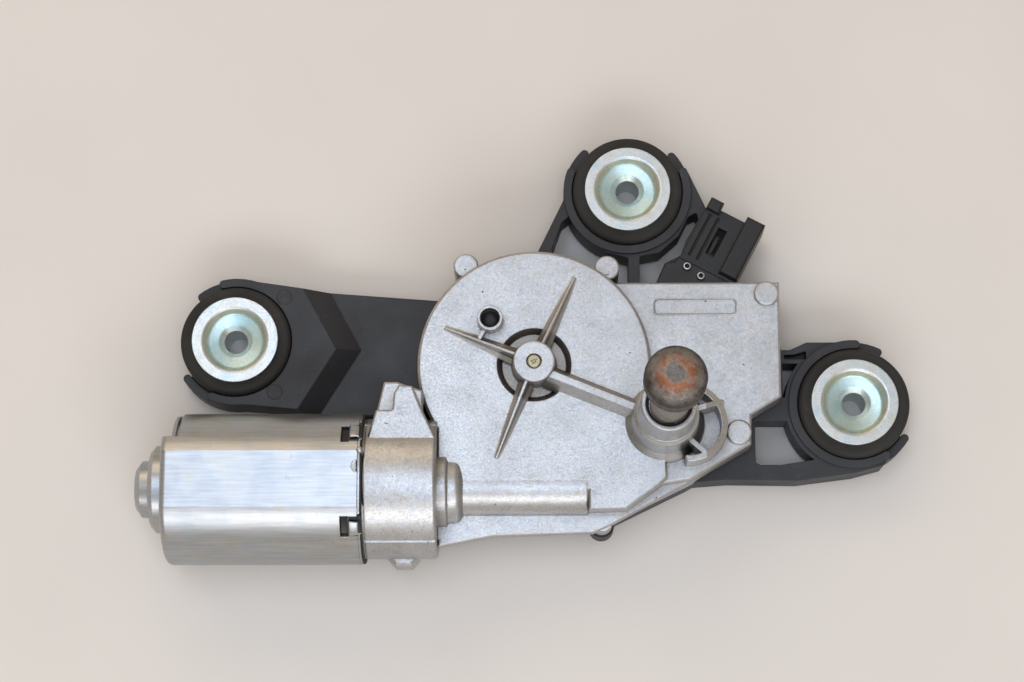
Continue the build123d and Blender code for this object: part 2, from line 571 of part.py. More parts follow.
def worm_thread():
    """Helical ridge of rack section on a round core, in mesh with the wheel above its middle."""
    lead = math.pi * MODULE
    crest, root = 1.05, 1.25
    slope = math.tan(math.radians(PRESSURE_ANGLE))
    tip = lead / 4 - BACKLASH / 2 - crest * slope
    foot = lead / 4 - BACKLASH / 2 + (root + 0.5) * slope
    start, end = WORM_X
    turns_before = math.ceil((WHEEL[0] - start) / lead) + 1
    first = WHEEL[0] + lead / 4 - turns_before * lead
    path = Helix(lead, end - first + lead, WORM_R)
    section = make_face(Polyline((-root - 0.5, -foot), (crest, -tip), (crest, tip), (-root - 0.5, foot),
                                 close=True))
    ridge = sweep(Plane(origin=path @ 0, x_dir=(1, 0, 0), z_dir=path % 0) * section, path=path,
                  is_frenet=True)
    core = Pos(0, 0, -lead) * Cylinder(WORM_R - root, end - first + 4 * lead, align=CENTRE)
    screw = Pos(first, AXIS_Y, AXIS_Z) * Rot(0, 90, 0) * (core + ridge)
    return screw & turned_x([(start, 0), (start, WORM_R - root + 0.1), (start + 1.6, WORM_R + crest + 0.2),
                             (end - 1.6, WORM_R + crest + 0.2), (end, WORM_R - root + 0.1), (end, 0)])


def armature_shaft():
    """Steel shaft from the rear bearing to the thrust pad, with the worm rolled into its free end."""
    back = CAP_X[1] + CAN_WALL + 0.6
    front = PAD_X[0] - 0.1
    start, end = WORM_X
    rear = turned_x([(back, 0), (back, SHAFT_R - 0.5), (back + 0.5, SHAFT_R), (start - 1.0, SHAFT_R),
                     (start, WORM_R - 1.25), (start, 0)])
    nose = turned_x([(end, 0), (end, WORM_R - 1.25), (front - 0.2, 1.4), (front, 0)])
    return rear + worm_thread() + nose


def slot_section(clearance):
    """One slot of the armature, with a narrow mouth at the rim, about +Z of the motor's axis."""
    half = [(1.0, CORE_R + 1), (1.0, 15.4), (3.2, 14.9), (1.1, 7.6)]
    right = [(x - clearance, z) for x, z in half]
    return [(-x, z) for x, z in right] + [(x, z) for x, z in reversed(right)]


def slot_prisms(clearance, start, end):
    """The slots of the armature as solids between two x positions."""
    slots = Part()
    plane = Plane(origin=(start, AXIS_Y, AXIS_Z), z_dir=(1, 0, 0), x_dir=(0, 1, 0))
    section = plane * make_face(Polyline(*slot_section(clearance), close=True))
    one = extrude(section, end - start)
    centre = Pos(0, AXIS_Y, AXIS_Z)
    for index in range(SLOTS):
        slots += centre * Rot(360 / SLOTS * index, 0, 0) * centre.inverse() * one
    return slots


def armature_core():
    """Stack of slotted laminations."""
    start, end = CORE_X
    return axial(CORE_R, start, end) - slot_prisms(0.0, start - 1, end + 1) - axial(SHAFT_R + SEAT, start - 1, end + 1)


def armature_windings():
    """Copper coils: the conductors in the slots and the turns at both ends of the core."""
    start, end = CORE_X
    coils = slot_prisms(0.15, start, end) & axial(14.6, start, end)
    for face, away in ((start, -1), (end, 1)):
        coils += turned_x([(face, 5.2), (face, 14.4), (face + away * 2.2, 15.0), (face + away * 4.0, 12.8),
                           (face + away * 4.6, 8.0), (face + away * 4.2, 5.2)])
    return coils


def commutator():
    """Copper commutator on its moulded hub, cut into segments."""
    start, end = COMMUTATOR_X
    body = turned_x([(start, SHAFT_R + SEAT), (start, COMMUTATOR_R + 2), (start + 1.6, COMMUTATOR_R + 2),
                     (start + 2.0, COMMUTATOR_R), (end, COMMUTATOR_R), (end, SHAFT_R + SEAT)])
    for index in range(SLOTS):
        saw = block((start - 1, end + 1), (-0.35, 0.35), (COMMUTATOR_R - 1.0, COMMUTATOR_R + 4))
        body -= Pos(0, AXIS_Y, AXIS_Z) * Rot(360 / SLOTS * (index + 0.5), 0, 0) * saw
    return body


def brush_holder():
    """Moulded brush plate in the motor flange, with a box guide for each brush."""
    start, end = BRUSH_PLATE_X
    plate = axial(18.2, start, end) - axial(7.0, start - 1, end + 1)
    for side in (-1, 1):
        guide = block((-45.4, start), (-3.4, 3.4), (10.4, 17.4))
        slide = block((-44.6, start - 0.8), (-2.55, 2.55), (9.0, 16.9))
        plate += turned_brush(side, guide) - turned_brush(side, slide)
    return plate


def turned_brush(side, piece):
    """Places a piece that is drawn above the axis onto one of the two sides of the commutator."""
    return Pos(0, AXIS_Y, AXIS_Z) * Rot(90 * side, 0, 0) * piece


def carbon_brushes():
    """Two carbon blocks with faces hollowed to the commutator."""
    brushes = Part()
    for side in (-1, 1):
        brushes += turned_brush(side, block((-44.5, -37.4), (-2.45, 2.45), (8.0, 14.2)))
    return brushes - axial(COMMUTATOR_R + 0.12, -60, -30)


def brush_springs():
    """Coil springs that press the brushes inward."""
    springs = Part()
    wire, coil = 0.28, 1.75
    for side in (-1, 1):
        path = Helix(0.85, 2.0, coil)
        section = Plane(origin=path @ 0, z_dir=path % 0) * RegularPolygon(wire, 6)
        spring = Pos(-40.9, 0, 14.52) * sweep(section, path=path, is_frenet=True)
        springs += turned_brush(side, spring)
    return springs


def suppression_choke():
    """Ferrite rod choke on the brush plate."""
    return Pos(BRUSH_PLATE_X[0] - 7.6, AXIS_Y, AXIS_Z + 13.2) * Rot(0, 90, 0) * Cylinder(2.6, 7.6, align=CENTRE)


# ---- worm wheel and what turns with it -----------------------------------------------------------------
def worm_wheel():
    """Moulded helical wheel, cored between its ribs, with a hub that carries the crank pin."""
    low, high = WHEEL_Z
    lead_angle = MODULE / (2 * WORM_R)
    twist = math.degrees((high - low) / 2 * lead_angle / WHEEL_R)
    layers = []
    for level, turn in ((low, -twist), (high, twist)):
        outline = gear_outline(TEETH, MODULE, BACKLASH / 2, 270 + turn)
        layers.append(Pos(*WHEEL, level) * make_face(Polyline(*outline, close=True)))
    wheel = loft(layers, ruled=True)
    ring = disc(WHEEL, 27.4) - disc(WHEEL, 13.0)
    for index in range(8):
        ring -= bar(WHEEL, polar(WHEEL, 29, 45 * index + 22.5), 1.6)
    wheel -= prism(ring, low + 3.2, high + 1)
    wheel -= tube(WHEEL, 26.6, 14.4, low - 1, low + 0.5)
    wheel += post(WHEEL, 11.6, low - 1.2, low + 1)
    wheel -= post(WHEEL, AXLE_R + RUNNING, 0, 40)
    return wheel - post(CRANK_PIN, 3.0, 0, 20.2)


def park_disc():
    """Brass ring under the wheel, with the gap that tells where the wiper parks."""
    ring = disc(WHEEL, 26.5) - disc(WHEEL, 14.5)
    gap = disc(WHEEL, 22.0) - disc(WHEEL, 18.5)
    wedge = polygon([WHEEL, polar(WHEEL, 40, 20), polar(WHEEL, 40, 62)])
    return prism(ring - (gap & wedge), WHEEL_Z[0], WHEEL_Z[0] + 0.5)


def crank_pin():
    """Steel pin pressed into the hub of the wheel."""
    return post(CRANK_PIN, 3.0, LINK_Z[1] + 0.25, 20.2)


def wheel_axle():
    """Fixed pin in the boss of the housing, its turned end showing on top."""
    return turned([(0, 14.8), (AXLE_R - 0.3, 14.8), (AXLE_R, 15.1), (AXLE_R, BOSS_Z - 0.6),
                   (AXLE_R - 0.35, BOSS_Z - 0.25), (0.5, BOSS_Z - 0.25), (0, BOSS_Z - 0.7)], WHEEL)


# ---- rocker, toothed link and spindle --------------------------------------------------------------
def rocker_plate():
    """Plate that holds the sector pin at a fixed distance from the spindle."""
    low, high = ROCKER_Z
    plate = prism(bar(SPINDLE, SECTOR_PIN, 11.0) + disc(SPINDLE, 7.2) + disc(SECTOR_PIN, 5.6), low, high)
    plate += post(SPINDLE, 6.4, low - 1.6, high)
    plate -= post(SPINDLE, 4.0 + RUNNING, 0, 20)
    return plate - post(SECTOR_PIN, 3.0, 0, 20)


def sector_pin():
    """Riveted pin between the rocker and the toothed link."""
    low, high = ROCKER_Z
    return turned([(0, low - 0.8), (4.2, low - 0.8), (4.2, low), (3.0, low), (3.0, LINK_Z[1] + 0.5),
                   (0, LINK_Z[1] + 0.5)], SECTOR_PIN)


def sector_link():
    """Connecting rod from the crank pin, ending in a toothed sector about the sector pin."""
    towards = ROCKER_REST + 180
    teeth = gear_outline(SECTOR_TEETH, LINK_MODULE, 0.05, towards)
    middle = towards + SWEEP / 6
    half = SECTOR_SPAN / 2
    wedge = polygon([(0, 0), polar((0, 0), 30, middle - half), polar((0, 0), 30, middle),
                     polar((0, 0), 30, middle + half)])
    sector = Pos(*SECTOR_PIN) * (make_face(Polyline(*teeth, close=True)) & wedge)
    outline = sector + bar(CRANK_PIN, SECTOR_PIN, 7.0) + disc(CRANK_PIN, 5.4) + disc(SECTOR_PIN, 6.0)
    outline -= disc(CRANK_PIN, 3.06) + disc(SECTOR_PIN, 3.0 + RUNNING)
    return prism(outline, *LINK_Z)


def spindle_pinion():
    """Steel pinion pressed onto the foot of the spindle."""
    teeth = gear_outline(PINION_TEETH, LINK_MODULE, 0.05, ROCKER_REST + 180 / PINION_TEETH)
    return prism(Pos(*SPINDLE) * make_face(Polyline(*teeth, close=True)) - disc(SPINDLE, 4.0 + SEAT), *LINK_Z)


def output_spindle():
    """Spindle with a plain neck and a domed head for the wiper arm."""
    top = SPINDLE_TOP
    ring_groove = 55.4
    return turned([(0, 5.4), (3.6, 5.4), (4.0, 5.8), (4.0, LINK_Z[1]), (6.4, LINK_Z[1]), (6.4, 18.2),
                   (SPINDLE_R, 18.2), (SPINDLE_R, ring_groove), (SPINDLE_R - 0.5, ring_groove),
                   (SPINDLE_R - 0.5, ring_groove + 0.9), (SPINDLE_R, ring_groove + 0.9),
                   (SPINDLE_R, 83.0), (SPINDLE_R - 0.5, 84.0), (SPINDLE_R - 0.5, 85.2), (7.2, 87.6),
                   (HEAD_R - 0.4, 89.5), (HEAD_R, 90.5), (HEAD_R, 96.2), (HEAD_R - 0.5, 97.6),
                   (HEAD_R - 1.7, 99.3), (HEAD_R - 3.4, 100.8), (3.6, 101.7), (2.8, top), (0, top)], SPINDLE)


def spindle_bush(low, high):
    """Sintered bush in the tower."""
    return tube(SPINDLE, BUSH_R, SPINDLE_R + RUNNING, low, high)


def spindle_seal():
    """Lip seal at the mouth of the tower."""
    return turned([(SPINDLE_R + 0.05, 52.0), (BUSH_R, 51.6), (BUSH_R, 54.4), (SPINDLE_R + 0.4, 54.2)], SPINDLE)


def spindle_clip():
    """Retaining ring in the groove of the spindle."""
    ring = tube(SPINDLE, 6.5, SPINDLE_R - 0.5, 55.5, 56.2)
    return ring - block((SPINDLE[0] - 1.2, SPINDLE[0] + 1.2), (SPINDLE[1] - 9, SPINDLE[1]), (55, 57))


# ---- electrical pieces ---------------------------------------------------------------------------------
def connector_envelope():
    """The outer shape of the socket, in its own turned frame."""
    body = block((1.0, 19.8), (-11.6, 6.8), (3.4, 15.2))
    rail = eased(block((2.0, 21.4), (-11.6, -5.7), (3.4, 17.6)), 0.5)
    stop = eased(block((18.0, 21.8), (2.5, 6.7), (3.4, 17.6)), 0.5)
    return body + rail + stop


def connector_shell():
    """Moulded socket with a guide rail, a stop and a latch slot, set at an angle to the housing."""
    body = connector_envelope() - block((7.0, 30.0), (-9.9, 5.1), (5.0, 13.4))
    body -= block((5.9, 14.8), (-2.2, 0.6), (12.6, 30.0))
    for y in (1.6, 4.3):
        body -= block((3.0, 17.4), (y, y + 0.7), (14.4, 30.0))
    return PLUG * body - connector_pins()


def connector_pins():
    """Four tinned blades in the socket, moulded through the cover and bent up to the circuit plate."""
    pins = Part()
    for index in range(4):
        y = -7.7 + 3.8 * index
        pins += block((-13.0, 13.5), (y - 0.6, y + 0.6), (8.8, 9.6))
        pins += block((-13.0, -12.2), (y - 0.6, y + 0.6), (9.6, 15.2))
    return PLUG * pins


def circuit_plate():
    """Insulating plate under the end of the housing that carries the contact strips."""
    plate = prism(polygon([(38, -6), (64, -6), (64, 15.6), (38, 15.6)], 1.0), 15.2, 16.8)
    return plate + post((44, 10), 2.4, 16.8, LOW_Z - WALL) + post((60, 0), 2.4, 16.8, LOW_Z - WALL)


def contact_strips():
    """Sprung brass strips that run on the brass ring under the wheel."""
    strips = Part()
    for index, reach in enumerate((25.6, 22.6, 20.2)):
        y = 4.0 + 3.2 * index
        x = WHEEL[0] + math.sqrt(reach * reach - (y - WHEEL[1]) ** 2) - 6.0
        strips += block((x, 43.5), (y - 0.9, y + 0.9), (14.9, 15.2))
        strips += block((x, x + 0.9), (y - 0.9, y + 0.9), (15.2, WHEEL_Z[0] - 0.15))
    return strips


# ---- the assembly ------------------------------------------------------------------------------------
def pieces():
    """Every piece of the motor by name."""
    made = {
        "gear_housing": gear_housing(),
        "back_cover": back_cover(),
        "housing_gasket": housing_gasket(),
        "cover_screws": cover_screws(),
        "motor_can": motor_can(),
        "field_magnets": field_magnets(),
        "magnet_clips": magnet_clips(),
        "rear_bearing": rear_bearing(),
        "front_bearing": front_bearing(),
        "thrust_pad": thrust_pad(),
        "armature_shaft": armature_shaft(),
        "armature_core": armature_core(),
        "armature_windings": armature_windings(),
        "commutator": commutator(),
        "brush_holder": brush_holder(),
        "carbon_brushes": carbon_brushes(),
        "brush_springs": brush_springs(),
        "suppression_choke": suppression_choke(),
        "worm_wheel": worm_wheel(),
        "park_disc": park_disc(),
        "crank_pin": crank_pin(),
        "wheel_axle": wheel_axle(),
        "wheel_washer": tube(WHEEL, 5.4, AXLE_R + 0.05, WHEEL_Z[1] + 0.1, FACE_Z - 3.3),
        "wheel_clip": tube(WHEEL, 3.5, AXLE_R, 15.15, 15.7),
        "rocker_plate": rocker_plate(),
        "sector_pin": sector_pin(),
        "sector_link": sector_link(),
        "output_spindle": output_spindle(),
        "spindle_pinion": spindle_pinion(),
        "spindle_bush_lower": spindle_bush(19.5, 29.5),
        "spindle_bush_upper": spindle_bush(42.0, 51.0),
        "spindle_seal": spindle_seal(),
        "spindle_clip": spindle_clip(),
        "spindle_washer": tube(SPINDLE, 8.8, SPINDLE_R + 0.1, 18.35, 18.95),
        "connector_shell": connector_shell(),
        "connector_pins": connector_pins(),
        "circuit_plate": circuit_plate(),
        "contact_strips": contact_strips(),
    }
    for name, (centre, start, end) in EARS.items():
        made["grommet_" + name] = grommet(centre)
        made["sleeve_" + name] = sleeve(centre)
    return made


os.makedirs("parts", exist_ok=True)
for name, solid in pieces().items():
    solid.label = name
    export_step(solid, f"parts/{name}.step")
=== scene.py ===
import json
import math

import bmesh
import bpy
from mathutils import Matrix, Vector

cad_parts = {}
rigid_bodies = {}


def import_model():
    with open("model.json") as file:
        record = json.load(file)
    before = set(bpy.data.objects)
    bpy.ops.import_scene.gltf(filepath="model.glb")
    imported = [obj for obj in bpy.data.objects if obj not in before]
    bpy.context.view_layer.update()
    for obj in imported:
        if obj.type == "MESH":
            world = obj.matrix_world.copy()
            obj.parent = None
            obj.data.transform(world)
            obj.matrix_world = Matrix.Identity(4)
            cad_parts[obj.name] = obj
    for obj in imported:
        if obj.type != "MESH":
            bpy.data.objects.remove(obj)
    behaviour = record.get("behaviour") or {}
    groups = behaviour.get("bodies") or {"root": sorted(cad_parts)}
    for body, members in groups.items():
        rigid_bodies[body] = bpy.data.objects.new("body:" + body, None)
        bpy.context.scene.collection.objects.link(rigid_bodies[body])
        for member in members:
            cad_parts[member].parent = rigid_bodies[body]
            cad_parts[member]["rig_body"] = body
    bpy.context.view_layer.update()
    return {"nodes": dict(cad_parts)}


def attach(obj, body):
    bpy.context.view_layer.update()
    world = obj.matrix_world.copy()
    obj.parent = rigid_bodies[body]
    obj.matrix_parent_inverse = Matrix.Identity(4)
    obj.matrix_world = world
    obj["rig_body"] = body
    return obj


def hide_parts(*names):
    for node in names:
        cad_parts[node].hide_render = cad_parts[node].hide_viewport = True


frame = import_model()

bl_info = {
    "name": "Rear Wiper Motor",
    "version": (1, 0, 0),
    "blender": (4, 5, 0),
    "location": "View3D > Sidebar > Wiper Motor",
    "description": "Finishes the wiper motor's castings, mouldings and turned pieces, and sets up its studio",
    "category": "Object",
}

# Places are in metres, in the frame's own axes. The motor's axis lies along X, and the unit rests on z 0.
MM = 0.001
AXIS_Y = -43.2 * MM
AXIS_Z = 20.6 * MM
WHEEL = (2.5 * MM, -7.5 * MM)
SPINDLE = (40.65 * MM, -24.7 * MM)
PLATE_Z = 25.0 * MM
RING_POST = (-10.4 * MM, 5.5 * MM)
LABEL = (50.25 * MM, 10.65 * MM)
PLUG_POST = (48.6 * MM, 25.2 * MM)
PLUG_POST_STEP = (4.1 * MM, -3.0 * MM, 0)
ARM_MARK = (-72.9 * MM, 16.3 * MM)
ARM_MARK_STEP = (-2.4 * MM, -29.0 * MM, 0)
SCREWS = [(x * MM, y * MM) for x, y in ((-17.75, 23.0), (24.2, 22.3), (71.4, 14.4), (62.6, -27.3),
                                        (22.4, -52.6), (-18.5, -52.6))]
EARS = ("left", "top", "right")

# Angles about the motor's axis, in degrees from straight up
CRIMP_ANGLES = (38, 104, 180, 284)
RIVET_ANGLE = -22

# The camera's place, the directions of its view's right and upper sides, and its focal length in pixels of a
# view that is VIEW_PIXELS wide
CAMERA_PLACE = (0.0053, -0.1595, 0.7779)
CAMERA_RIGHT = (0.99992, 0.0, -0.01241)
CAMERA_UP = (0.00258, 0.97820, 0.20766)
FOCAL_PIXELS = 2600
VIEW_PIXELS = 1024
SENSOR_MM = 36.0


# ---- colours and nodes ---------------------------------------------------------------------------
def linear(code):
    """An sRGB hex colour as linear red, green and blue."""
    parts = [int(code[i:i + 2], 16) / 255 for i in (1, 3, 5)]
    return tuple(p / 12.92 if p <= 0.04045 else ((p + 0.055) / 1.055) ** 2.4 for p in parts)


def per(size):
    """The scale that makes a pattern repeat at a size in millimetres, on coordinates in metres."""
    return 1000.0 / size


def add(tree, kind, settings=None, links=None):
    """Adds a node, sets its properties and sockets, and links its inputs to other nodes' outputs."""
    node = tree.nodes.new(kind)
    for key, value in (settings or {}).items():
        if isinstance(key, str) and hasattr(node, key):
            setattr(node, key, value)
        else:
            node.inputs[key].default_value = value
    for key, source in (links or {}).items():
        tree.links.new(node.inputs[key], source)
    return node


def ramp(tree, factor, stops):
    """A colour ramp with (position, colour) stops."""
    node = add(tree, "ShaderNodeValToRGB", links={"Fac": factor})
    band = node.color_ramp
    while len(band.elements) < len(stops):
        band.elements.new(0.5)
    for element, (place, colour) in zip(band.elements, stops):
        element.position = place
        element.color = (*colour[:3], 1.0)
    return node.outputs["Color"]


def grey(value):
    """An even grey, as linear red, green and blue."""
    return (value, value, value)


def mixed(tree, factor, first, second, blend="MIX"):
    """Two colours mixed by a factor. Each may be a colour or another node's output."""
    node = add(tree, "ShaderNodeMix", {"data_type": "RGBA", "blend_type": blend})
    for index, value in ((0, factor), (6, first), (7, second)):
        if isinstance(value, bpy.types.NodeSocket):
            tree.links.new(node.inputs[index], value)
        else:
            node.inputs[index].default_value = value if index == 0 else (*value[:3], 1.0)
    return node.outputs[2]


def noise(tree, place, size, detail=3.0, roughness=0.5, stretch=None):
    """Noise at a size in millimetres, drawn out along an axis if stretch is given."""
    if stretch:
        place = add(tree, "ShaderNodeMapping", {"Scale": stretch}, {"Vector": place}).outputs["Vector"]
    node = add(tree, "ShaderNodeTexNoise", {"Scale": per(size), "Detail": detail, "Roughness": roughness},
               {"Vector": place})
    return node.outputs["Fac"]


def about(tree, place, axis):
    """The distance from an upright axis and the height, in metres."""
    centred = add(tree, "ShaderNodeMapping", {"Location": (-axis[0], -axis[1], 0.0)}, {"Vector": place})
    parts = add(tree, "ShaderNodeSeparateXYZ", links={"Vector": centred.outputs["Vector"]})
    plan = add(tree, "ShaderNodeCombineXYZ", links={"X": parts.outputs["X"], "Y": parts.outputs["Y"]})
    radius = add(tree, "ShaderNodeVectorMath", {"operation": "LENGTH"}, {0: plan.outputs["Vector"]})
    return radius.outputs["Value"], parts.outputs["Z"]


def between(tree, value, low, high, start=0.0, end=1.0):
    """A value mapped from two limits, in millimetres, to two others."""
    node = add(tree, "ShaderNodeMapRange", {"From Min": low * MM, "From Max": high * MM, "To Min": start,
                                            "To Max": end}, {"Value": value})
    return node.outputs["Result"]


def times(tree, first, second):
    """The product of two other nodes' outputs."""
    node = add(tree, "ShaderNodeMath", {"operation": "MULTIPLY"}, {0: first, 1: second})
    return node.outputs["Value"]


def new_material(name, metallic, edge):
    """A material with a principled shader whose edges are softened over a few tenths of a millimetre."""
    material = bpy.data.materials.new(name)
    material.use_nodes = True
    tree = material.node_tree
    tree.nodes.clear()
    shader = add(tree, "ShaderNodeBsdfPrincipled", {"Metallic": metallic})
    add(tree, "ShaderNodeOutputMaterial", links={"Surface": shader.outputs["BSDF"]})
    place = add(tree, "ShaderNodeTexCoord").outputs["Object"]
    rounded = add(tree, "ShaderNodeBevel", {"samples": 6, "Radius": edge * MM}).outputs["Normal"]
    return material, tree, shader, place, rounded


def relief(tree, shader, rounded, layers):
    """Bump layers, each (height, depth in millimetres, strength), on top of the softened edges."""
    normal = rounded
    for height, depth, strength in layers:
        normal = add(tree, "ShaderNodeBump", {"Distance": depth * MM, "Strength": strength},
                     {"Height": height, "Normal": normal}).outputs["Normal"]
    tree.links.new(shader.inputs["Normal"], normal)


def colour_property(name, code, description):
    """A colour that the panel shows, given as a hex value."""
    return bpy.props.FloatVectorProperty(name=name, description=description, subtype="COLOR", size=3,
                                         min=0.0, max=1.0, default=linear(code))


class WiperColours(bpy.types.PropertyGroup):
    """Colours of the wiper motor's finishes."""
    casting: colour_property("Casting", "#C7C8C9", "Shot-blasted die-cast aluminium")
    casting_dark: colour_property("Casting Shade", "#A6A4A2", "Grey skin in corners and flow marks")
    zinc: colour_property("Zinc", "#C6C8CA", "Zinc plating of the motor can")
    nylon: colour_property("Cover", "#26282C", "Black glass-filled nylon of the back cover")
    connector: colour_property("Connector", "#0F1011", "Black polyester of the connector")
    rubber: colour_property("Rubber", "#23221F", "Black rubber of the grommets and seal")
    passivation: colour_property("Passivation", "#CDD0CE", "Clear passivation on the flange of the sleeves")
    straw: colour_property("Straw Passivation", "#EEE4C8", "Straw tint on the slope of the sleeve's dish")
    sheen: colour_property("Blue Passivation", "#C2DADC", "Blue-green tint on the floor of the sleeve's dish")
    steel: colour_property("Spindle Steel", "#9C9791", "Oxidised steel of the spindle")
    rust: colour_property("Rust", "#9C5F3A", "Orange rust on the spindle's head")
    rust_dark: colour_property("Old Rust", "#5B3A2B", "Brown rust round the orange")
    brass: colour_property("Brass", "#A9A086", "Worn brass of the wheel axle")
    copper: colour_property("Copper", "#B8683E", "Enamelled copper wire and commutator")
    bronze: colour_property("Bronze", "#A07B4E", "Oil-soaked sintered bronze")
    acetal: colour_property("Acetal", "#E4E0D4", "Natural white acetal of the worm wheel")
    phenolic: colour_property("Phenolic", "#5A3A25", "Brown paper-filled phenolic")
    floor: colour_property("Floor", "#DAD6D1", "Pale paper under the motor")


class WiperSizes(bpy.types.PropertyGroup):
    """Sizes of the wiper motor's textures and of the studio."""
    grain: bpy.props.FloatProperty(
        name="Blast Grain", description="Size of the shot-blast dimples, in millimetres",
        default=0.55, min=0.1, max=2.0)
    floor_size: bpy.props.FloatProperty(
        name="Floor Size", description="Side of the square floor", default=6.0, min=1.0, unit="LENGTH")
    key_power: bpy.props.FloatProperty(
        name="Overhead Light", description="Power of the cool softbox above the motor",
        default=5.0, min=0.0, unit="POWER")
    side_power: bpy.props.FloatProperty(
        name="Side Light", description="Power of the softbox beside the motor can",
        default=9.0, min=0.0, unit="POWER")
    fill_power: bpy.props.FloatProperty(
        name="Fill Light", description="Power of the warm softbox behind the motor",
        default=4.0, min=0.0, unit="POWER")


# ---- materials -----------------------------------------------------------------------------------
def die_cast_aluminium(colours, sizes):
    """ADC12 aluminium, pressure die-cast and shot-blasted: a matt, finely dimpled grey with cloudy
    flow marks, dark pores, painted shade in its corners, and a painted ring of shade and grease round
    the wheel's hub that stands in for the shade of its dish."""
    material, tree, shader, place, rounded = new_material("die_cast_aluminium", 1.0, 0.45)
    clouds = noise(tree, place, 14.0, 4.0, 0.6)
    grain = noise(tree, place, sizes.grain, 4.0, 0.65)
    pores = noise(tree, place, 1.5, 2.0, 0.4)
    stains = noise(tree, place, 4.0, 5.0, 0.7)
    skin = ramp(tree, clouds, [(0.30, colours.casting_dark), (0.62, colours.casting)])
    fine = ramp(tree, grain, [(0.30, grey(0.70)), (0.66, grey(1.0))])
    tone = mixed(tree, 0.75, mixed(tree, 0.5, colours.casting, skin), fine, "MULTIPLY")
    tone = mixed(tree, ramp(tree, stains, [(0.60, grey(0.0)), (0.76, grey(0.30))]), tone, linear("#8E867B"))
    tints = ramp(tree, noise(tree, place, 2.6, 5.0, 0.7), [(0.34, linear("#C6D0DC")), (0.50, grey(1.0)),
                                                           (0.66, linear("#DCD2C2"))])
    tone = mixed(tree, 0.42, tone, tints, "MULTIPLY")
    # Painted shade and grease: within about 12 mm of the wheel's axis and below the hub's top, the grey is
    # darkened to brown-grey #6E655B for the shade of the hub's dish and the grease in it.
    radius, height = about(tree, place, WHEEL)
    ragged = add(tree, "ShaderNodeMath", {"operation": "MULTIPLY_ADD", 1: 3.0 * MM}, {0: stains, 2: radius})
    dish_shade_and_grease = times(tree, between(tree, ragged.outputs["Value"], 11.3, 12.8, 0.6, 0.0),
                   between(tree, height, 30.5, 31.5, 1.0, 0.0))
    tone = mixed(tree, dish_shade_and_grease, tone, linear("#6E655B"))
    specks = ramp(tree, pores, [(0.215, grey(0.0)), (0.235, grey(1.0))])
    tone = mixed(tree, specks, linear("#3C3A38"), tone)
    # Painted shade: an ambient-occlusion mask darkens the corners towards brown-grey #665C50.
    occlusion_for_painted_shade = add(tree, "ShaderNodeAmbientOcclusion", {"samples": 6, "Distance": 4.5 * MM}).outputs["AO"]
    painted_crease_shade = ramp(tree, occlusion_for_painted_shade, [(0.25, grey(0.0)), (0.86, grey(1.0))])
    tone = mixed(tree, painted_crease_shade, mixed(tree, 0.5, tone, linear("#665C50")), tone)
    tree.links.new(shader.inputs["Base Color"], tone)
    tree.links.new(shader.inputs["Roughness"], ramp(tree, grain, [(0.3, grey(0.48)), (0.7, grey(0.34))]))
    relief(tree, shader, rounded, [(clouds, 0.25, 0.35), (grain, 0.09, 0.5)])
    return material


def zinc_plated_steel(colours, sizes):
    """Deep-drawn mild steel with bright zinc: smooth, with drawing lines along the can and small
    scratches."""
    material, tree, shader, place, rounded = new_material("zinc_plated_drawn_steel", 1.0, 0.3)
    lines = noise(tree, place, 0.7, 5.0, 0.6, (0.05, 1.0, 1.0))
    clouds = noise(tree, place, 9.0, 4.0, 0.6)
    scuffs = noise(tree, place, 1.6, 5.0, 0.7, (1.0, 0.25, 0.25))
    drawn = ramp(tree, lines, [(0.25, grey(0.52)), (0.75, grey(0.90))])
    tone = mixed(tree, 0.7, colours.zinc, drawn, "MULTIPLY")
    film = ramp(tree, clouds, [(0.32, linear("#E6DCC4")), (0.48, linear("#EDEDEC")),
                               (0.66, linear("#DCE6EE"))])
    tone = mixed(tree, 0.55, tone, film, "MULTIPLY")
    marks = ramp(tree, scuffs, [(0.27, grey(0.35)), (0.36, grey(1.0))])
    tone = mixed(tree, marks, linear("#96938D"), tone)
    tree.links.new(shader.inputs["Base Color"], tone)
    tree.links.new(shader.inputs["Roughness"], ramp(tree, clouds, [(0.3, grey(0.33)), (0.7, grey(0.39))]))
    relief(tree, shader, rounded, [(lines, 0.03, 0.35), (clouds, 0.12, 0.25)])
    return material


def moulded_black(name, colour, rough, edge, grain_size, depth):
    """A black moulding: faint grain from the tool, slightly uneven gloss, a trace of pale dust and painted
    shade in its corners.
    """
    material, tree, shader, place, rounded = new_material(name, 0.0, edge)
    grain = noise(tree, place, grain_size, 4.0, 0.6)
    flow = noise(tree, place, 16.0, 4.0, 0.6)
    dust = noise(tree, place, 2.4, 6.0, 0.75)
    tone = mixed(tree, 0.5, colour, ramp(tree, flow, [(0.3, grey(0.5)), (0.7, grey(1.0))]), "MULTIPLY")
    pale = tuple(min(1.0, c * 3.0 + 0.012) for c in colour)
    tone = mixed(tree, ramp(tree, dust, [(0.58, grey(0.0)), (0.80, grey(0.55))]), tone, pale)
    # Painted shade: an ambient-occlusion mask darkens the corners nearly to black.
    occlusion_for_painted_shade = add(tree, "ShaderNodeAmbientOcclusion", {"samples": 6, "Distance": 3.0 * MM}).outputs["AO"]
    tone = mixed(tree, ramp(tree, occlusion_for_painted_shade, [(0.3, grey(0.35)), (0.8, grey(1.0))]), grey(0.004), tone)
    tree.links.new(shader.inputs["Base Color"], tone)
    tree.links.new(shader.inputs["Roughness"],
                   ramp(tree, flow, [(0.3, grey(rough + 0.08)), (0.7, grey(rough - 0.06))]))
    relief(tree, shader, rounded, [(grain, depth, 0.5)])
    return material


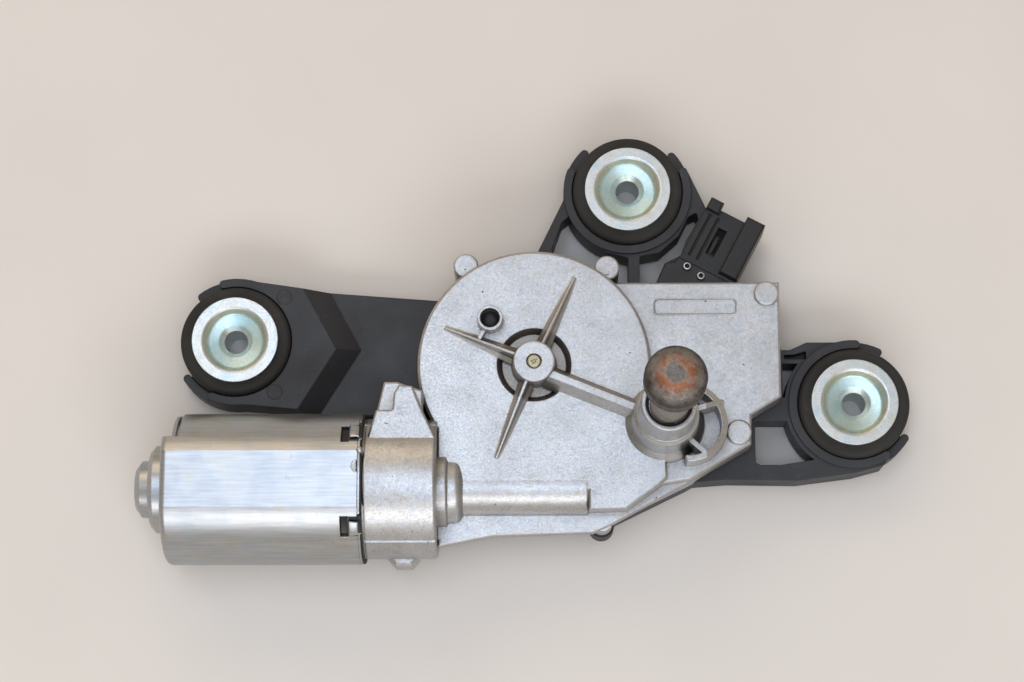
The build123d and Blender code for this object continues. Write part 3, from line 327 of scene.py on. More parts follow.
def glass_filled_nylon(colours, sizes):
    """PA66 with glass fibre: black, eggshell gloss, with a fine fibre grain."""
    return moulded_black("glass_filled_nylon", colours.nylon, 0.52, 0.4, 0.5, 0.04)


def moulded_polyester(colours, sizes):
    """PBT of a connector: black and a little glossier than the cover."""
    return moulded_black("moulded_polyester", colours.connector, 0.42, 0.55, 0.35, 0.02)


def moulded_rubber(colours, sizes):
    """EPDM rubber: deep black and dull, with a faint bloom."""
    return moulded_black("moulded_rubber", colours.rubber, 0.72, 0.35, 0.7, 0.03)


def passivated_sleeve(colours, sizes):
    """Zinc plate with thin yellow passivation: pale cream with blue-green and straw tints that follow
    the thickness of the film, a sandy grain on the flange, and painted light low on the sleeve and in its
    bore."""
    material, tree, shader, place, rounded = new_material("passivated_zinc", 1.0, 0.3)
    film = noise(tree, place, 5.5, 3.0, 0.55)
    grain = noise(tree, place, 0.45, 3.0, 0.7)
    height = add(tree, "ShaderNodeSeparateXYZ", links={"Vector": place}).outputs["Z"]
    depth = add(tree, "ShaderNodeMapRange", {"From Min": 12.0 * MM, "From Max": 17.0 * MM},
                {"Value": height}).outputs["Result"]
    # Painted light: below the dish's floor the sleeve and its bore are painted pale grey #D3D9D8, for light
    # falling into the bore; above it the film's tints follow the height.
    rings = ramp(tree, depth, [(0.18, linear("#D3D9D8")), (0.40, colours.sheen), (0.60, colours.sheen),
                               (0.71, colours.straw), (0.82, colours.straw), (0.93, colours.passivation)])
    play = ramp(tree, film, [(0.32, linear("#D8EDF3")), (0.50, grey(1.0)), (0.66, linear("#F1EADC"))])
    tone = mixed(tree, 0.6, rings, play, "MULTIPLY")
    tone = mixed(tree, 0.6, tone, ramp(tree, grain, [(0.30, grey(0.66)), (0.60, grey(1.0))]), "MULTIPLY")
    tree.links.new(shader.inputs["Base Color"], tone)
    tree.links.new(shader.inputs["Roughness"], ramp(tree, grain, [(0.3, grey(0.46)), (0.7, grey(0.32))]))
    relief(tree, shader, rounded, [(grain, 0.05, 0.45)])
    return material


def oxidised_spindle(colours, sizes):
    """Turned steel left bare outdoors: dull grey-brown, with a ring of orange rust on the dome of its head
    and a clean centre where the nut's end sat."""
    material, tree, shader, place, rounded = new_material("rusted_turned_steel", 0.85, 0.3)
    radius, height = about(tree, place, SPINDLE)
    patches = noise(tree, place, 4.2, 4.0, 0.65)
    crust = noise(tree, place, 0.9, 5.0, 0.7)
    shifted = add(tree, "ShaderNodeMath", {"operation": "MULTIPLY_ADD", 1: 3.0 * MM},
                  {0: patches, 2: radius})
    ring = add(tree, "ShaderNodeMapRange", {"From Min": 0.0, "From Max": 10.0 * MM},
               {"Value": shifted.outputs["Value"]})
    on_ring = ramp(tree, ring.outputs["Result"], [(0.38, grey(0.0)), (0.44, grey(1.0)), (0.72, grey(0.9)),
                                                  (0.84, grey(0.0))])
    blotches = ramp(tree, patches, [(0.40, grey(0.25)), (0.54, grey(1.0))])
    head = times(tree, times(tree, on_ring, blotches), between(tree, height, 96, 98))
    pitted = ramp(tree, crust, [(0.3, grey(0.45)), (0.7, grey(1.0))])
    steel = mixed(tree, 0.6, colours.steel, pitted, "MULTIPLY")
    brown = ramp(tree, patches, [(0.50, grey(0.0)), (0.68, grey(0.5))])
    stained = mixed(tree, brown, steel, colours.rust_dark)
    centre = ramp(tree, ring.outputs["Result"], [(0.40, linear("#94765F")), (0.56, colours.rust),
                                                 (0.78, colours.rust_dark)])
    orange = mixed(tree, 0.55, centre, ramp(tree, crust, [(0.3, grey(0.35)), (0.62, grey(1.0))]), "MULTIPLY")
    rim = ramp(tree, ring.outputs["Result"], [(0.36, grey(0.62)), (0.46, grey(1.0)), (0.78, grey(1.0)),
                                                 (0.97, grey(0.30))])
    stained = mixed(tree, between(tree, height, 84, 90), stained, mixed(tree, 1.0, stained, rim, "MULTIPLY"))
    tone = mixed(tree, head, stained, orange)
    tree.links.new(shader.inputs["Base Color"], tone)
    tree.links.new(shader.inputs["Metallic"], ramp(tree, head, [(0.2, grey(0.85)), (0.6, grey(0.1))]))
    tree.links.new(shader.inputs["Roughness"], ramp(tree, crust, [(0.3, grey(0.70)), (0.7, grey(0.45))]))
    relief(tree, shader, rounded, [(crust, 0.10, 0.6), (patches, 0.3, 0.3)])
    return material


def machined(name, colour, rough, metallic=1.0, grain_size=0.4, depth=0.02):
    """A turned, ground or sintered piece: its colour broken by tool marks and handling."""
    material, tree, shader, place, rounded = new_material(name, metallic, 0.15)
    marks = noise(tree, place, grain_size, 4.0, 0.65)
    stains = noise(tree, place, 5.0, 4.0, 0.6)
    tone = mixed(tree, 0.5, colour, ramp(tree, marks, [(0.3, grey(0.62)), (0.7, grey(1.0))]), "MULTIPLY")
    tone = mixed(tree, 0.3, tone, ramp(tree, stains, [(0.35, grey(0.6)), (0.65, grey(1.0))]), "MULTIPLY")
    tree.links.new(shader.inputs["Base Color"], tone)
    tree.links.new(shader.inputs["Roughness"],
                   ramp(tree, stains, [(0.3, grey(rough + 0.08)), (0.7, grey(rough - 0.05))]))
    relief(tree, shader, rounded, [(marks, depth, 0.4)])
    return material


def turned_brass(colours, sizes):
    """Free-machining brass with rings from the lathe, dulled by handling."""
    return machined("turned_brass", colours.brass, 0.38)


def shade_darkened_tin(colours, sizes):
    """Contact blades of dull hot-dip tin, painted dark grey for the shade in the depth of their socket."""
    return machined("shade_darkened_tin", linear("#5B5A58"), 0.5)


def enamelled_copper(colours, sizes):
    """Copper under thin enamel: warm and half glossy."""
    return machined("enamelled_copper", colours.copper, 0.35, grain_size=0.6, depth=0.08)


def sintered_bronze(colours, sizes):
    """Porous bronze soaked in oil: brown and speckled."""
    return machined("sintered_bronze", colours.bronze, 0.5, grain_size=0.3, depth=0.05)


def ground_steel(colours, sizes):
    """Hardened and ground steel: even grey with fine lines."""
    return machined("ground_steel", linear("#A9A8A6"), 0.28)


def stamped_zinc_steel(colours, sizes):
    """Stamped and zinc plated screws and plates: bluish grey, half matt."""
    return machined("stamped_zinc_steel", colours.zinc, 0.36)


def natural_acetal(colours, sizes):
    """POM as moulded: milky white and waxy."""
    return machined("natural_acetal", colours.acetal, 0.38, 0.0, 1.2, 0.01)


def moulded_phenolic(colours, sizes):
    """Paper-filled phenolic: brown, with a fibrous fleck."""
    return machined("moulded_phenolic", colours.phenolic, 0.55, 0.0, 0.7, 0.03)


def sintered_ferrite(colours, sizes):
    """Ferrite as fired: charcoal and gritty."""
    return machined("sintered_ferrite", linear("#2B2B2C"), 0.7, 0.0, 0.4, 0.06)


def copper_graphite(colours, sizes):
    """Brush carbon with copper powder: black with a coppery glint."""
    return machined("copper_graphite", linear("#2A2624"), 0.5, 0.4, 0.35, 0.03)


FINISHES = {
    "cast_aluminium": die_cast_aluminium,
    "black_nylon": glass_filled_nylon,
    "connector_black": moulded_polyester,
    "black_rubber": moulded_rubber,
    "zinc_yellow": passivated_sleeve,
    "can_zinc": zinc_plated_steel,
    "stamped_zinc": stamped_zinc_steel,
    "spindle_steel": oxidised_spindle,
    "bright_steel": ground_steel,
    "brass": turned_brass,
    "shade_darkened_tin": shade_darkened_tin,
    "copper": enamelled_copper,
    "bronze": sintered_bronze,
    "ferrite": sintered_ferrite,
    "carbon": copper_graphite,
    "white_acetal": natural_acetal,
    "brown_phenolic": moulded_phenolic,
}


def finish_of(name):
    """The material of a finish, made once."""
    made = bpy.data.materials.get("finish_" + name)
    if made is None:
        scene = bpy.context.scene
        made = FINISHES[name](scene.wiper_colours, scene.wiper_sizes)
        made.name = "finish_" + name
    return made


def give_finish(names, finish):
    """Puts a finish on the frame's own pieces."""
    for name in names:
        for place in frame["nodes"][name].material_slots:
            place.material = finish_of(finish)


# ---- modelling -----------------------------------------------------------------------------------
def fresh():
    """Leaves edit mode and selects nothing, so that the next operator acts on the new piece alone."""
    if bpy.context.object and bpy.context.object.mode != "OBJECT":
        bpy.ops.object.mode_set(mode="OBJECT")
    bpy.ops.object.select_all(action="DESELECT")


def hold(piece):
    """Makes a piece the active one and the only one selected, because the operators act on that."""
    fresh()
    piece.select_set(True)
    bpy.context.view_layer.objects.active = piece


def cylinder(radius, low, high, place, sides=64):
    """A cylinder between two heights, open for editing."""
    fresh()
    bpy.ops.mesh.primitive_cylinder_add(vertices=sides, radius=radius, depth=high - low,
                                        location=(place[0], place[1], (low + high) / 2))
    bpy.ops.object.transform_apply(location=True, rotation=True, scale=True)
    bpy.ops.object.mode_set(mode="EDIT")
    bpy.ops.mesh.select_mode(type="FACE")
    return bpy.context.object


def block(size, place):
    """A block with its centre at a place, open for editing."""
    fresh()
    bpy.ops.mesh.primitive_cube_add(size=1.0, location=place)
    bpy.ops.transform.resize(value=size)
    bpy.ops.object.transform_apply(location=True, rotation=True, scale=True)
    bpy.ops.object.mode_set(mode="EDIT")
    bpy.ops.mesh.select_mode(type="FACE")
    return bpy.context.object


def pick(piece, test):
    """Selects the faces that pass a test, in edit mode."""
    bpy.ops.mesh.select_all(action="DESELECT")
    mesh = bmesh.from_edit_mesh(piece.data)
    for face in mesh.faces:
        if test(face):
            face.select_set(True)
    bmesh.update_edit_mesh(piece.data)


def pick_edges(piece, test):
    """Selects the edges that pass a test, in edit mode."""
    bpy.ops.mesh.select_mode(type="EDGE")
    bpy.ops.mesh.select_all(action="DESELECT")
    mesh = bmesh.from_edit_mesh(piece.data)
    for edge in mesh.edges:
        if test(edge):
            edge.select_set(True)
    bmesh.update_edit_mesh(piece.data)


def stepped(piece, steps, up=1.0):
    """Insets the upper (or lower) end face again and again, and moves it after each inset. In millimetres."""
    pick(piece, lambda face: face.normal.z * up > 0.9)
    for inset, rise in steps:
        bpy.ops.mesh.inset(thickness=inset * MM, use_even_offset=True)
        if rise:
            bpy.ops.transform.translate(value=(0, 0, rise * MM))


def drawn_out(x, y, z):
    """Extrudes the selected faces by a step in millimetres."""
    bpy.ops.mesh.extrude_region_move(TRANSFORM_OT_translate={"value": (x * MM, y * MM, z * MM)})


def starred(piece, centre, height, lobes, share, wanted):
    """Draws every corner of the selected face that is wanted towards its centre, which makes it a star."""
    bpy.ops.mesh.select_mode(type="VERT")
    mesh = bmesh.from_edit_mesh(piece.data)
    ring = {vert for vert in mesh.verts if vert.select}
    for vert in mesh.verts:
        turn = math.atan2(vert.co.y - centre[1], vert.co.x - centre[0])
        vert.select_set(vert in ring and wanted(math.cos(lobes * turn)))
    mesh.select_flush_mode()
    bmesh.update_edit_mesh(piece.data)
    bpy.ops.transform.resize(value=(share, share, 1), center_override=(*centre, height))
    bpy.ops.mesh.select_mode(type="FACE")


def pierce(piece):
    """Joins the two many-sided end faces, which leaves a through hole between them."""
    pick(piece, lambda face: len(face.verts) > 4)
    bpy.ops.mesh.bridge_edge_loops()


def pierce_rim(piece):
    """Joins the innermost faces of the two ends of a frame, which leaves it open."""
    corners = [vert.co for vert in bmesh.from_edit_mesh(piece.data).verts]
    middle = sum(corners, Vector()) / len(corners)
    pick(piece, lambda face: abs(face.normal.z) > 0.9
         and (face.calc_center_median() - middle).to_2d().length < 0.3 * MM)
    bpy.ops.mesh.bridge_edge_loops()


def soften(piece, width, angle=50.0, segments=2):
    """Rounds the sharp edges with a bevel modifier and applies it."""
    hold(piece)
    bevel = piece.modifiers.new("rounding", "BEVEL")
    bevel.width = width
    bevel.segments = segments
    bevel.limit_method = "ANGLE"
    bevel.angle_limit = math.radians(angle)
    bpy.ops.object.modifier_apply(modifier=bevel.name)


def settle(piece, name, slot, body="housing", angle=35.0, finish=None):
    """Turns all faces outwards, smooths the shading, and gives the piece its name, finish and body."""
    hold(piece)
    bpy.ops.object.mode_set(mode="EDIT")
    bpy.ops.mesh.select_all(action="SELECT")
    bpy.ops.mesh.remove_doubles(threshold=0.000001)
    bpy.ops.mesh.normals_make_consistent(inside=False)
    bpy.ops.object.mode_set(mode="OBJECT")
    bpy.ops.object.shade_smooth_by_angle(angle=math.radians(angle))
    piece.name = name
    piece.data.name = name
    piece.data.materials.append(finish_of(finish or slot))
    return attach(piece, body)


def repeated(piece, name, moves):
    """Copies of a piece, each with its own mesh, moved or turned into place by a matrix."""
    made = []
    for index, move in enumerate(moves):
        hold(piece)
        bpy.ops.object.duplicate()
        twin = bpy.context.object
        twin.data.transform(move)
        twin.name = f"{name}_{index + 2}"
        twin.data.name = twin.name
        made.append(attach(twin, piece["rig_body"]))
    return made


# ---- the studio ----------------------------------------------------------------------------------
def aim(piece, target):
    """Turns a lamp towards a point."""
    direction = Vector(target) - piece.location
    piece.rotation_euler = direction.to_track_quat("-Z", "Y").to_euler()


def softbox(name, place, target, size, power, colour):
    """A rectangular lamp that stands for a window or a lit wall."""
    lamp = bpy.data.lights.new(name, "AREA")
    lamp.shape = "RECTANGLE"
    lamp.size, lamp.size_y = size
    lamp.energy = power
    lamp.color = linear(colour)
    piece = bpy.data.objects.new(name, lamp)
    bpy.context.scene.collection.objects.link(piece)
    piece.location = place
    aim(piece, target)


def pale_paper(colours):
    """Uncoated paper: nearly white and dull, with a faint cloudiness from its fibres."""
    paper = bpy.data.materials.new("pale_paper")
    paper.use_nodes = True
    tree = paper.node_tree
    tree.nodes.clear()
    shader = add(tree, "ShaderNodeBsdfPrincipled", {"Roughness": 0.85, "Specular IOR Level": 0.2})
    add(tree, "ShaderNodeOutputMaterial", links={"Surface": shader.outputs["BSDF"]})
    place = add(tree, "ShaderNodeTexCoord").outputs["Object"]
    mottle = ramp(tree, noise(tree, place, 60.0, 4.0, 0.5), [(0.3, grey(0.93)), (0.7, grey(1.0))])
    tree.links.new(shader.inputs["Base Color"], mixed(tree, 0.5, colours.floor, mottle, "MULTIPLY"))
    return paper


def room():
    """The even, warm light of a pale room."""
    world = bpy.data.worlds.new("studio")
    world.use_nodes = True
    tree = world.node_tree
    tree.nodes.clear()
    sky = add(tree, "ShaderNodeBackground", {"Color": (*linear("#DCCFBF"), 1.0), "Strength": 0.74})
    add(tree, "ShaderNodeOutputWorld", links={"Surface": sky.outputs["Background"]})
    return world


def placed_camera():
    """A camera nearly overhead, a little towards the motor's side of the unit."""
    camera = bpy.data.cameras.new("camera")
    camera.sensor_width = SENSOR_MM
    camera.lens = SENSOR_MM * FOCAL_PIXELS / VIEW_PIXELS
    camera.clip_start = 0.01
    holder = bpy.data.objects.new("camera", camera)
    bpy.context.scene.collection.objects.link(holder)
    right, up = Vector(CAMERA_RIGHT), Vector(CAMERA_UP)
    turn = Matrix((right, up, right.cross(up))).transposed().to_4x4()
    holder.matrix_world = Matrix.Translation(CAMERA_PLACE) @ turn
    return holder


class WIPER_OT_stage(bpy.types.Operator):
    """Lays the pale floor, hangs the softboxes and places the camera"""
    bl_idname = "wiper.stage"
    bl_label = "Set Up Studio"

    def execute(self, context):
        scene = context.scene
        sizes = scene.wiper_sizes
        scene.view_settings.view_transform = "Standard"
        bpy.ops.object.select_all(action="DESELECT")
        bpy.ops.mesh.primitive_plane_add(size=sizes.floor_size, location=(0, 0, 0))
        floor = context.active_object
        floor.name = "floor"
        floor.data.materials.append(pale_paper(scene.wiper_colours))
        scene.world = room()
        softbox("overhead", (-0.05, -0.05, 1.2), (0.0, -0.02, 0.0), (1.0, 0.40), sizes.key_power, "#D4E6FF")
        softbox("beside_the_can", (0.1, -1.1, 0.85), (0.0, -0.02, 0.02), (1.4, 0.5), sizes.side_power,
                "#EFF3FA")
        softbox("far_wall", (-0.5, 1.0, 0.9), (0.0, 0.0, 0.02), (1.2, 0.6), sizes.fill_power, "#FFE6C8")
        scene.camera = placed_camera()
        return {"FINISHED"}


# ---- the pieces ----------------------------------------------------------------------------------
class WIPER_OT_castings(bpy.types.Operator):
    """Gives the gear housing its die-cast skin"""
    bl_idname = "wiper.castings"
    bl_label = "Finish Castings"

    def execute(self, context):
        give_finish(["gear_housing"], "cast_aluminium")
        return {"FINISHED"}


class WIPER_OT_mouldings(bpy.types.Operator):
    """Gives the back cover and the connector their black mouldings"""
    bl_idname = "wiper.mouldings"
    bl_label = "Finish Mouldings"

    def execute(self, context):
        give_finish(["back_cover"], "black_nylon")
        give_finish(["connector_shell"], "connector_black")
        return {"FINISHED"}


class WIPER_OT_mounts(bpy.types.Operator):
    """Gives the grommets, seal, gasket and sleeves their finish"""
    bl_idname = "wiper.mounts"
    bl_label = "Finish Mounts"

    def execute(self, context):
        give_finish(["grommet_" + e for e in EARS] + ["spindle_seal", "housing_gasket"], "black_rubber")
        give_finish(["sleeve_" + e for e in EARS], "zinc_yellow")
        return {"FINISHED"}


class WIPER_OT_can(bpy.types.Operator):
    """Gives the motor can its drawn and plated surface"""
    bl_idname = "wiper.can"
    bl_label = "Finish Motor Can"

    def execute(self, context):
        give_finish(["motor_can"], "can_zinc")
        return {"FINISHED"}


class WIPER_OT_spindle(bpy.types.Operator):
    """Gives the output spindle its weathered steel"""
    bl_idname = "wiper.spindle"
    bl_label = "Finish Spindle"

    def execute(self, context):
        give_finish(["output_spindle"], "spindle_steel")
        return {"FINISHED"}


# The pieces inside, by their finish
INNER = {
    "bright_steel": ["armature_shaft", "magnet_clips", "brush_springs", "crank_pin", "wheel_washer",
                     "wheel_clip", "sector_pin", "sector_link", "spindle_pinion", "spindle_clip",
                     "spindle_washer"],
    "copper": ["armature_windings", "commutator"],
    "bronze": ["rear_bearing", "front_bearing", "spindle_bush_lower", "spindle_bush_upper"],
    "brass": ["park_disc", "wheel_axle", "connector_pins", "contact_strips"],
    "ferrite": ["field_magnets", "suppression_choke"],
    "carbon": ["carbon_brushes"],
    "white_acetal": ["thrust_pad", "worm_wheel"],
    "brown_phenolic": ["brush_holder", "circuit_plate"],
}


# ---- the joint of the can ------------------------------------------------------------------------
def on_the_can(size, along, side, height):
    """A block above the motor's axis, in millimetres. Its side and height are counted from the axis."""
    return block([length * MM for length in size], (along * MM, AXIS_Y + side * MM, AXIS_Z + height * MM))


def about_the_axis(angle):
    """A turn about the motor's axis, in degrees."""
    axis = Matrix.Translation((0, AXIS_Y, AXIS_Z))
    return axis @ Matrix.Rotation(math.radians(angle), 4, "X") @ axis.inverted()


def round_the_can(piece, name, slot, finish):
    """Turns a piece made above the axis to the first crimp, and puts copies at the others."""
    first, *others = [about_the_axis(angle) for angle in CRIMP_ANGLES]
    piece.data.transform(first)
    settle(piece, name + "_1", slot, finish=finish)
    repeated(piece, name, others)


def sunk_top(piece, inset, depth):
    """Insets the upper face and sinks it, in millimetres."""
    pick(piece, lambda face: face.normal.z > 0.9)
    bpy.ops.mesh.inset(thickness=inset * MM)
    bpy.ops.transform.translate(value=(0, 0, -depth * MM))


def crimp_tabs():
    """Tongues of the can's wall, folded down over the flange and spread a little at their root."""
    tab = on_the_can((2.0, 4.3, 0.8), -49.6, 0.0, 22.95)
    pick(tab, lambda face: face.normal.x > 0.9)
    drawn_out(0.6, 0, -0.2)
    drawn_out(0.25, 0, -0.8)
    bpy.ops.transform.resize(value=(1, 0.8, 1))
    pick(tab, lambda face: face.normal.x < -0.9)
    bpy.ops.transform.resize(value=(1, 1.12, 1))
    soften(tab, 0.2 * MM)
    round_the_can(tab, "crimp_tab", "zinc_steel", "can_zinc")


def card_edges_and_window_shade():
    """The brush card's edge under each tab, made black for the shade in the gaps round the tab, and a black
    sheet behind each window that paints the shade over the spigot there.
    """
    edge = on_the_can((2.7, 6.2, 0.9), -49.45, 0.2, 21.95)
    sunk_top(edge, 0.3, 0.08)
    wall = on_the_can((2.34, 6.0, 0.4), -52.1, 0.0, 20.75)
    sunk_top(wall, 0.3, 0.12)
    # Painted shade: black sheets under the tabs and behind the windows.
    for piece, name in ((edge, "shaded_card_edge"), (wall, "window_shade_sheet")):
        soften(piece, 0.04 * MM)
        round_the_can(piece, name, "brown_phenolic", "connector_black")


def brush_card_ears():
    """Ears of the brush card that reach out between the can and the flange."""
    ear = on_the_can((1.15, 4.6, 1.7), -47.63, 0.8, 22.3)
    sunk_top(ear, 0.25, 0.5)
    pick(ear, lambda face: face.normal.y > 0.9)
    drawn_out(0, 0.9, -0.5)
    soften(ear, 0.12 * MM)
    round_the_can(ear, "brush_card_ear", "brown_phenolic", "connector_black")


def brush_card_rivet():
    """The domed head of a rivet at the joint."""
    rivet = cylinder(0.95 * MM, AXIS_Z + 21.4 * MM, AXIS_Z + 22.5 * MM, (-47.7 * MM, AXIS_Y), 24)
    stepped(rivet, [(0.2, 0.3), (0.3, 0.2), (0.2, 0.05)])
    bpy.ops.object.mode_set(mode="OBJECT")
    rivet.data.transform(about_the_axis(RIVET_ANGLE))
    settle(rivet, "brush_card_rivet", "zinc_steel", finish="stamped_zinc")


def flange_key():
    """A half-round key cast on the flange, with a rim round a shallow hollow."""
    key = cylinder(2.0 * MM, 41.05 * MM, 41.3 * MM, (-48.2 * MM, -39.6 * MM), 48)
    bpy.ops.mesh.select_all(action="SELECT")
    bpy.ops.mesh.bisect(plane_co=(-48.25 * MM, 0, 0), plane_no=(1, 0, 0), use_fill=True, clear_outer=True)
    stepped(key, [(0.22, -0.1), (0.3, 0.04)])
    settle(key, "flange_key", "cast_aluminium")


def collar(name, radius, flat, start, end, slot, finish):
    """A ring about the motor's axis with two flats, as the section of the can has. In millimetres."""
    wall = 1.1
    band = cylinder(radius * MM, (start - end) / 2 * MM, (end - start) / 2 * MM, (0, 0), 96)
    bpy.ops.object.mode_set(mode="OBJECT")
    place = Matrix.Translation(((start + end) / 2 * MM, AXIS_Y, AXIS_Z))
    band.data.transform(place @ Matrix.Rotation(math.pi / 2, 4, "Y"))
    bpy.ops.object.mode_set(mode="EDIT")
    for side in (1, -1):
        bpy.ops.mesh.select_all(action="SELECT")
        bpy.ops.mesh.bisect(plane_co=(0, 0, AXIS_Z + side * flat * MM), plane_no=(0, 0, side),
                            use_fill=True, clear_outer=True)
    pick(band, lambda face: abs(face.normal.x) > 0.9)
    bpy.ops.mesh.inset(thickness=wall * MM, use_even_offset=True)
    bpy.ops.mesh.bridge_edge_loops()
    settle(band, name, slot, finish=finish)


class WIPER_OT_crimps(bpy.types.Operator):
    """Adds the folded crimp tabs of the can, the brush card's edges and black sheets that paint
    the shade at the tabs and windows, and the seal of the joint
    """
    bl_idname = "wiper.crimps"
    bl_label = "Add Crimps"

    def execute(self, context):
        crimp_tabs()
        card_edges_and_window_shade()
        brush_card_ears()
        brush_card_rivet()
        flange_key()
        collar("can_rim", 22.15, 20.55, -48.28, -47.6, "zinc_steel", "can_zinc")
        collar("can_joint_seal", 21.9, 20.3, -47.58, -47.03, "black_rubber", "black_rubber")
        return {"FINISHED"}


# ---- small parts of the housing and cover --------------------------------------------------------
def dust_lip():
    """A rubber lip in the mouth of the tower, open round the spindle."""
    lip = cylinder(6.6 * MM, 56.4 * MM, 57.3 * MM, SPINDLE)
    stepped(lip, [(0.25, 0.12), (0.2, -0.3), (0.25, 0.1), (0.15, -0.15)])
    stepped(lip, [(0.85, 0)], -1.0)
    pierce(lip)
    settle(lip, "dust_lip", "black_rubber")


def post_shade_plug():
    """A dished black plug in the ring post of the drum, painting the shade in the post's hollow."""
    plug = cylinder(2.85 * MM, 29.1 * MM, 31.6 * MM, RING_POST, 48)
    stepped(plug, [(0.25, 0.0), (0.15, -0.6), (0.3, -0.55), (0.45, -0.4), (0.5, -0.2), (0.5, -0.05)])
    settle(plug, "post_shade_plug", "black_rubber", angle=60.0, finish="black_nylon")


def label_frame():
    """The raised rim round the bare label recess."""
    rim = block((24.7 * MM, 5.1 * MM, 0.35 * MM), (*LABEL, PLATE_Z + 0.03 * MM))
    pick_edges(rim, lambda edge: abs(edge.verts[0].co.z - edge.verts[1].co.z) > 0.1 * MM)
    bpy.ops.mesh.bevel(offset=1.4 * MM, segments=4)
    bpy.ops.mesh.select_mode(type="FACE")
    stepped(rim, [(0.1, 0.08), (0.16, 0.0), (0.1, -0.08)])
    stepped(rim, [(0.36, 0.0)], -1.0)
    pierce_rim(rim)
    settle(rim, "label_frame", "cast_aluminium")


def tower_bead():
    """The cast bead round the spindle's tower."""
    bead = cylinder(8.72 * MM, 43.3 * MM, 43.8 * MM, SPINDLE, 96)
    stepped(bead, [(0.12, 0.18), (0.18, 0.06), (1.0, 0.0)])
    stepped(bead, [(0.12, -0.18), (1.18, 0.0)], -1.0)
    pierce(bead)
    settle(bead, "tower_bead", "cast_aluminium")


def axle_stake():
    """The end of the wheel's axle, staked with a five-pointed punch."""
    stake = cylinder(1.85 * MM, 33.7 * MM, 33.9 * MM, WHEEL, 32)
    stepped(stake, [(0.2, 0.08), (0.65, 0.0)])
    starred(stake, WHEEL, 33.98 * MM, 5, 0.45, lambda wave: wave > 0.3)
    pick(stake, lambda face: len(face.verts) > 4 and face.normal.z > 0.9)
    drawn_out(0, 0, -0.22)
    bpy.ops.transform.resize(value=(0.5, 0.5, 1))
    settle(stake, "axle_stake", "brass", angle=20.0)


def eyelets():
    """Rolled eyelets on the two posts beside the connector."""
    eyelet = cylinder(1.12 * MM, 15.9 * MM, 16.15 * MM, PLUG_POST, 32)
    stepped(eyelet, [(0.18, 0.1), (0.16, 0.0), (0.1, -0.15)])
    stepped(eyelet, [(0.44, 0)], -1.0)
    pierce(eyelet)
    settle(eyelet, "eyelet_1", "zinc_steel", finish="stamped_zinc")
    repeated(eyelet, "eyelet", [Matrix.Translation(PLUG_POST_STEP)])


def ejector_marks():
    """Plain marks that the tool's ejector pins leave on the left arm."""
    mark = cylinder(2.4 * MM, 13.9 * MM, 14.02 * MM, ARM_MARK, 48)
    stepped(mark, [(0.15, 0.06), (0.25, -0.06), (1.1, 0.0), (0.2, 0.03)])
    settle(mark, "ejector_mark_1", "black_nylon")
    repeated(mark, "ejector_mark", [Matrix.Translation(ARM_MARK_STEP)])


class WIPER_OT_small_parts(bpy.types.Operator):
    """Adds the dust lip, the black plug that paints the shade in the ring post, label rim, tower bead,
    staked axle end, eyelets and ejector marks
    """
    bl_idname = "wiper.small_parts"
    bl_label = "Add Small Parts"

    def execute(self, context):
        dust_lip()
        post_shade_plug()
        label_frame()
        tower_bead()
        axle_stake()
        eyelets()
        ejector_marks()
        return {"FINISHED"}


def cover_screw(place):
    """A screw driven from below: shank with a chamfered tip, flange, head and six-lobed recess."""
    screw = cylinder(1.45 * MM, 3.4 * MM, 17.3 * MM, place, 24)
    stepped(screw, [(0.35, 0.2)])
    pick(screw, lambda face: face.normal.z < -0.9)
    drawn_out(0, 0, 0)
    bpy.ops.transform.resize(value=(1.96, 1.96, 1))
    drawn_out(0, 0, -0.45)
    drawn_out(0, 0, -0.5)
    bpy.ops.transform.resize(value=(0.8, 0.8, 1))
    drawn_out(0, 0, -0.3)
    bpy.ops.transform.resize(value=(0.85, 0.85, 1))
    bpy.ops.mesh.inset(thickness=0.55 * MM)
    starred(screw, place, 2.15 * MM, 6, 0.74, lambda wave: wave < -0.2)
    pick(screw, lambda face: len(face.verts) > 4 and face.normal.z < -0.9)
    drawn_out(0, 0, 0.9)
    return settle(screw, "cover_screw_1", "zinc_steel", finish="stamped_zinc")


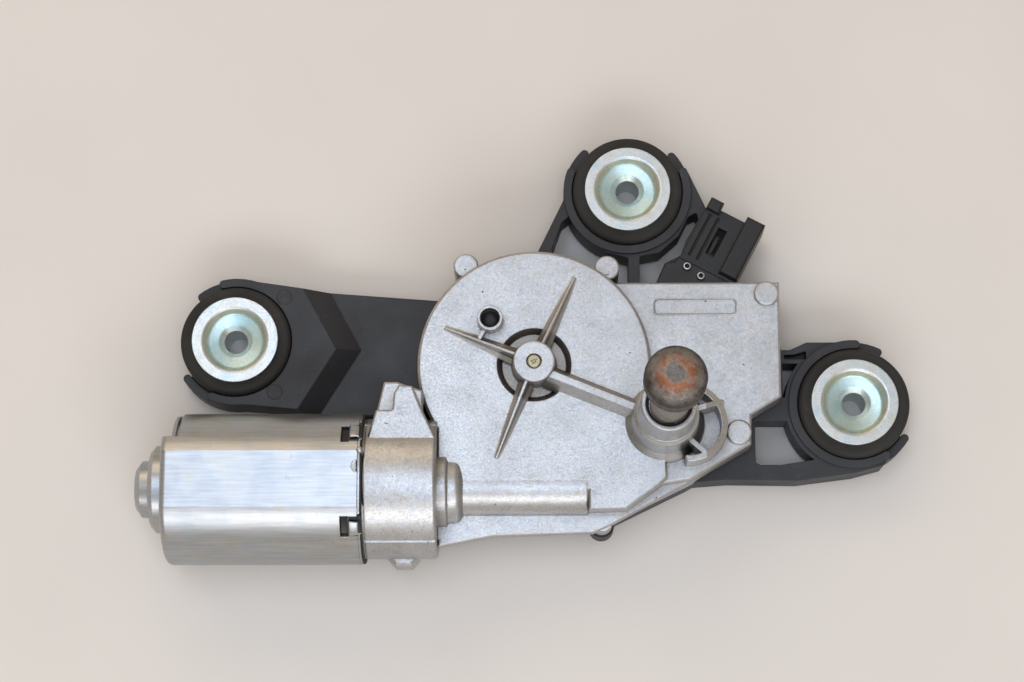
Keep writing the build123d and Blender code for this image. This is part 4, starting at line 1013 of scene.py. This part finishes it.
class WIPER_OT_screws(bpy.types.Operator):
    """Drives the six cover screws, each with a flanged head and a six-lobed recess"""
    bl_idname = "wiper.screws"
    bl_label = "Drive Cover Screws"

    def execute(self, context):
        first = SCREWS[0]
        screw = cover_screw(first)
        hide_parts("cover_screws")
        moves = [Matrix.Translation((x - first[0], y - first[1], 0)) for x, y in SCREWS[1:]]
        for twin in repeated(screw, "cover_screw", moves):
            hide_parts("cover_screws")
        return {"FINISHED"}


# ---- the pieces inside ---------------------------------------------------------------------------
class WIPER_OT_works(bpy.types.Operator):
    """Gives the pieces inside the motor and the gearbox their finish"""
    bl_idname = "wiper.works"
    bl_label = "Finish Works"

    def execute(self, context):
        for finish, names in INNER.items():
            give_finish(names, finish)
        give_finish(["cover_screws", "rocker_plate"], "stamped_zinc")
        give_finish(["armature_core"], "bright_steel")
        give_finish(["connector_pins"], "shade_darkened_tin")
        return {"FINISHED"}


class WIPER_PT_panel(bpy.types.Panel):
    """Lists the steps that finish the wiper motor"""
    bl_label = "Wiper Motor"
    bl_idname = "WIPER_PT_panel"
    bl_space_type = "VIEW_3D"
    bl_region_type = "UI"
    bl_category = "Wiper Motor"

    def draw(self, context):
        layout = self.layout
        for step in STEPS:
            layout.operator("wiper." + step)
        for group in (context.scene.wiper_colours, context.scene.wiper_sizes):
            box = layout.box()
            for name in group.bl_rna.properties.keys():
                if name not in ("rna_type", "name"):
                    box.prop(group, name)


STEPS = ("stage", "castings", "mouldings", "mounts", "can", "spindle", "works", "crimps", "small_parts",
         "screws")
CLASSES = (WiperColours, WiperSizes, WIPER_OT_stage, WIPER_OT_castings, WIPER_OT_mouldings, WIPER_OT_mounts,
           WIPER_OT_can, WIPER_OT_spindle, WIPER_OT_works, WIPER_OT_crimps, WIPER_OT_small_parts,
           WIPER_OT_screws, WIPER_PT_panel)


def register():
    for each in CLASSES:
        bpy.utils.register_class(each)
    bpy.types.Scene.wiper_colours = bpy.props.PointerProperty(type=WiperColours)
    bpy.types.Scene.wiper_sizes = bpy.props.PointerProperty(type=WiperSizes)


def unregister():
    del bpy.types.Scene.wiper_sizes
    del bpy.types.Scene.wiper_colours
    for each in reversed(CLASSES):
        bpy.utils.unregister_class(each)


def main():
    register()
    for step in STEPS:
        getattr(bpy.ops.wiper, step)()


if __name__ == "__main__":
    main()
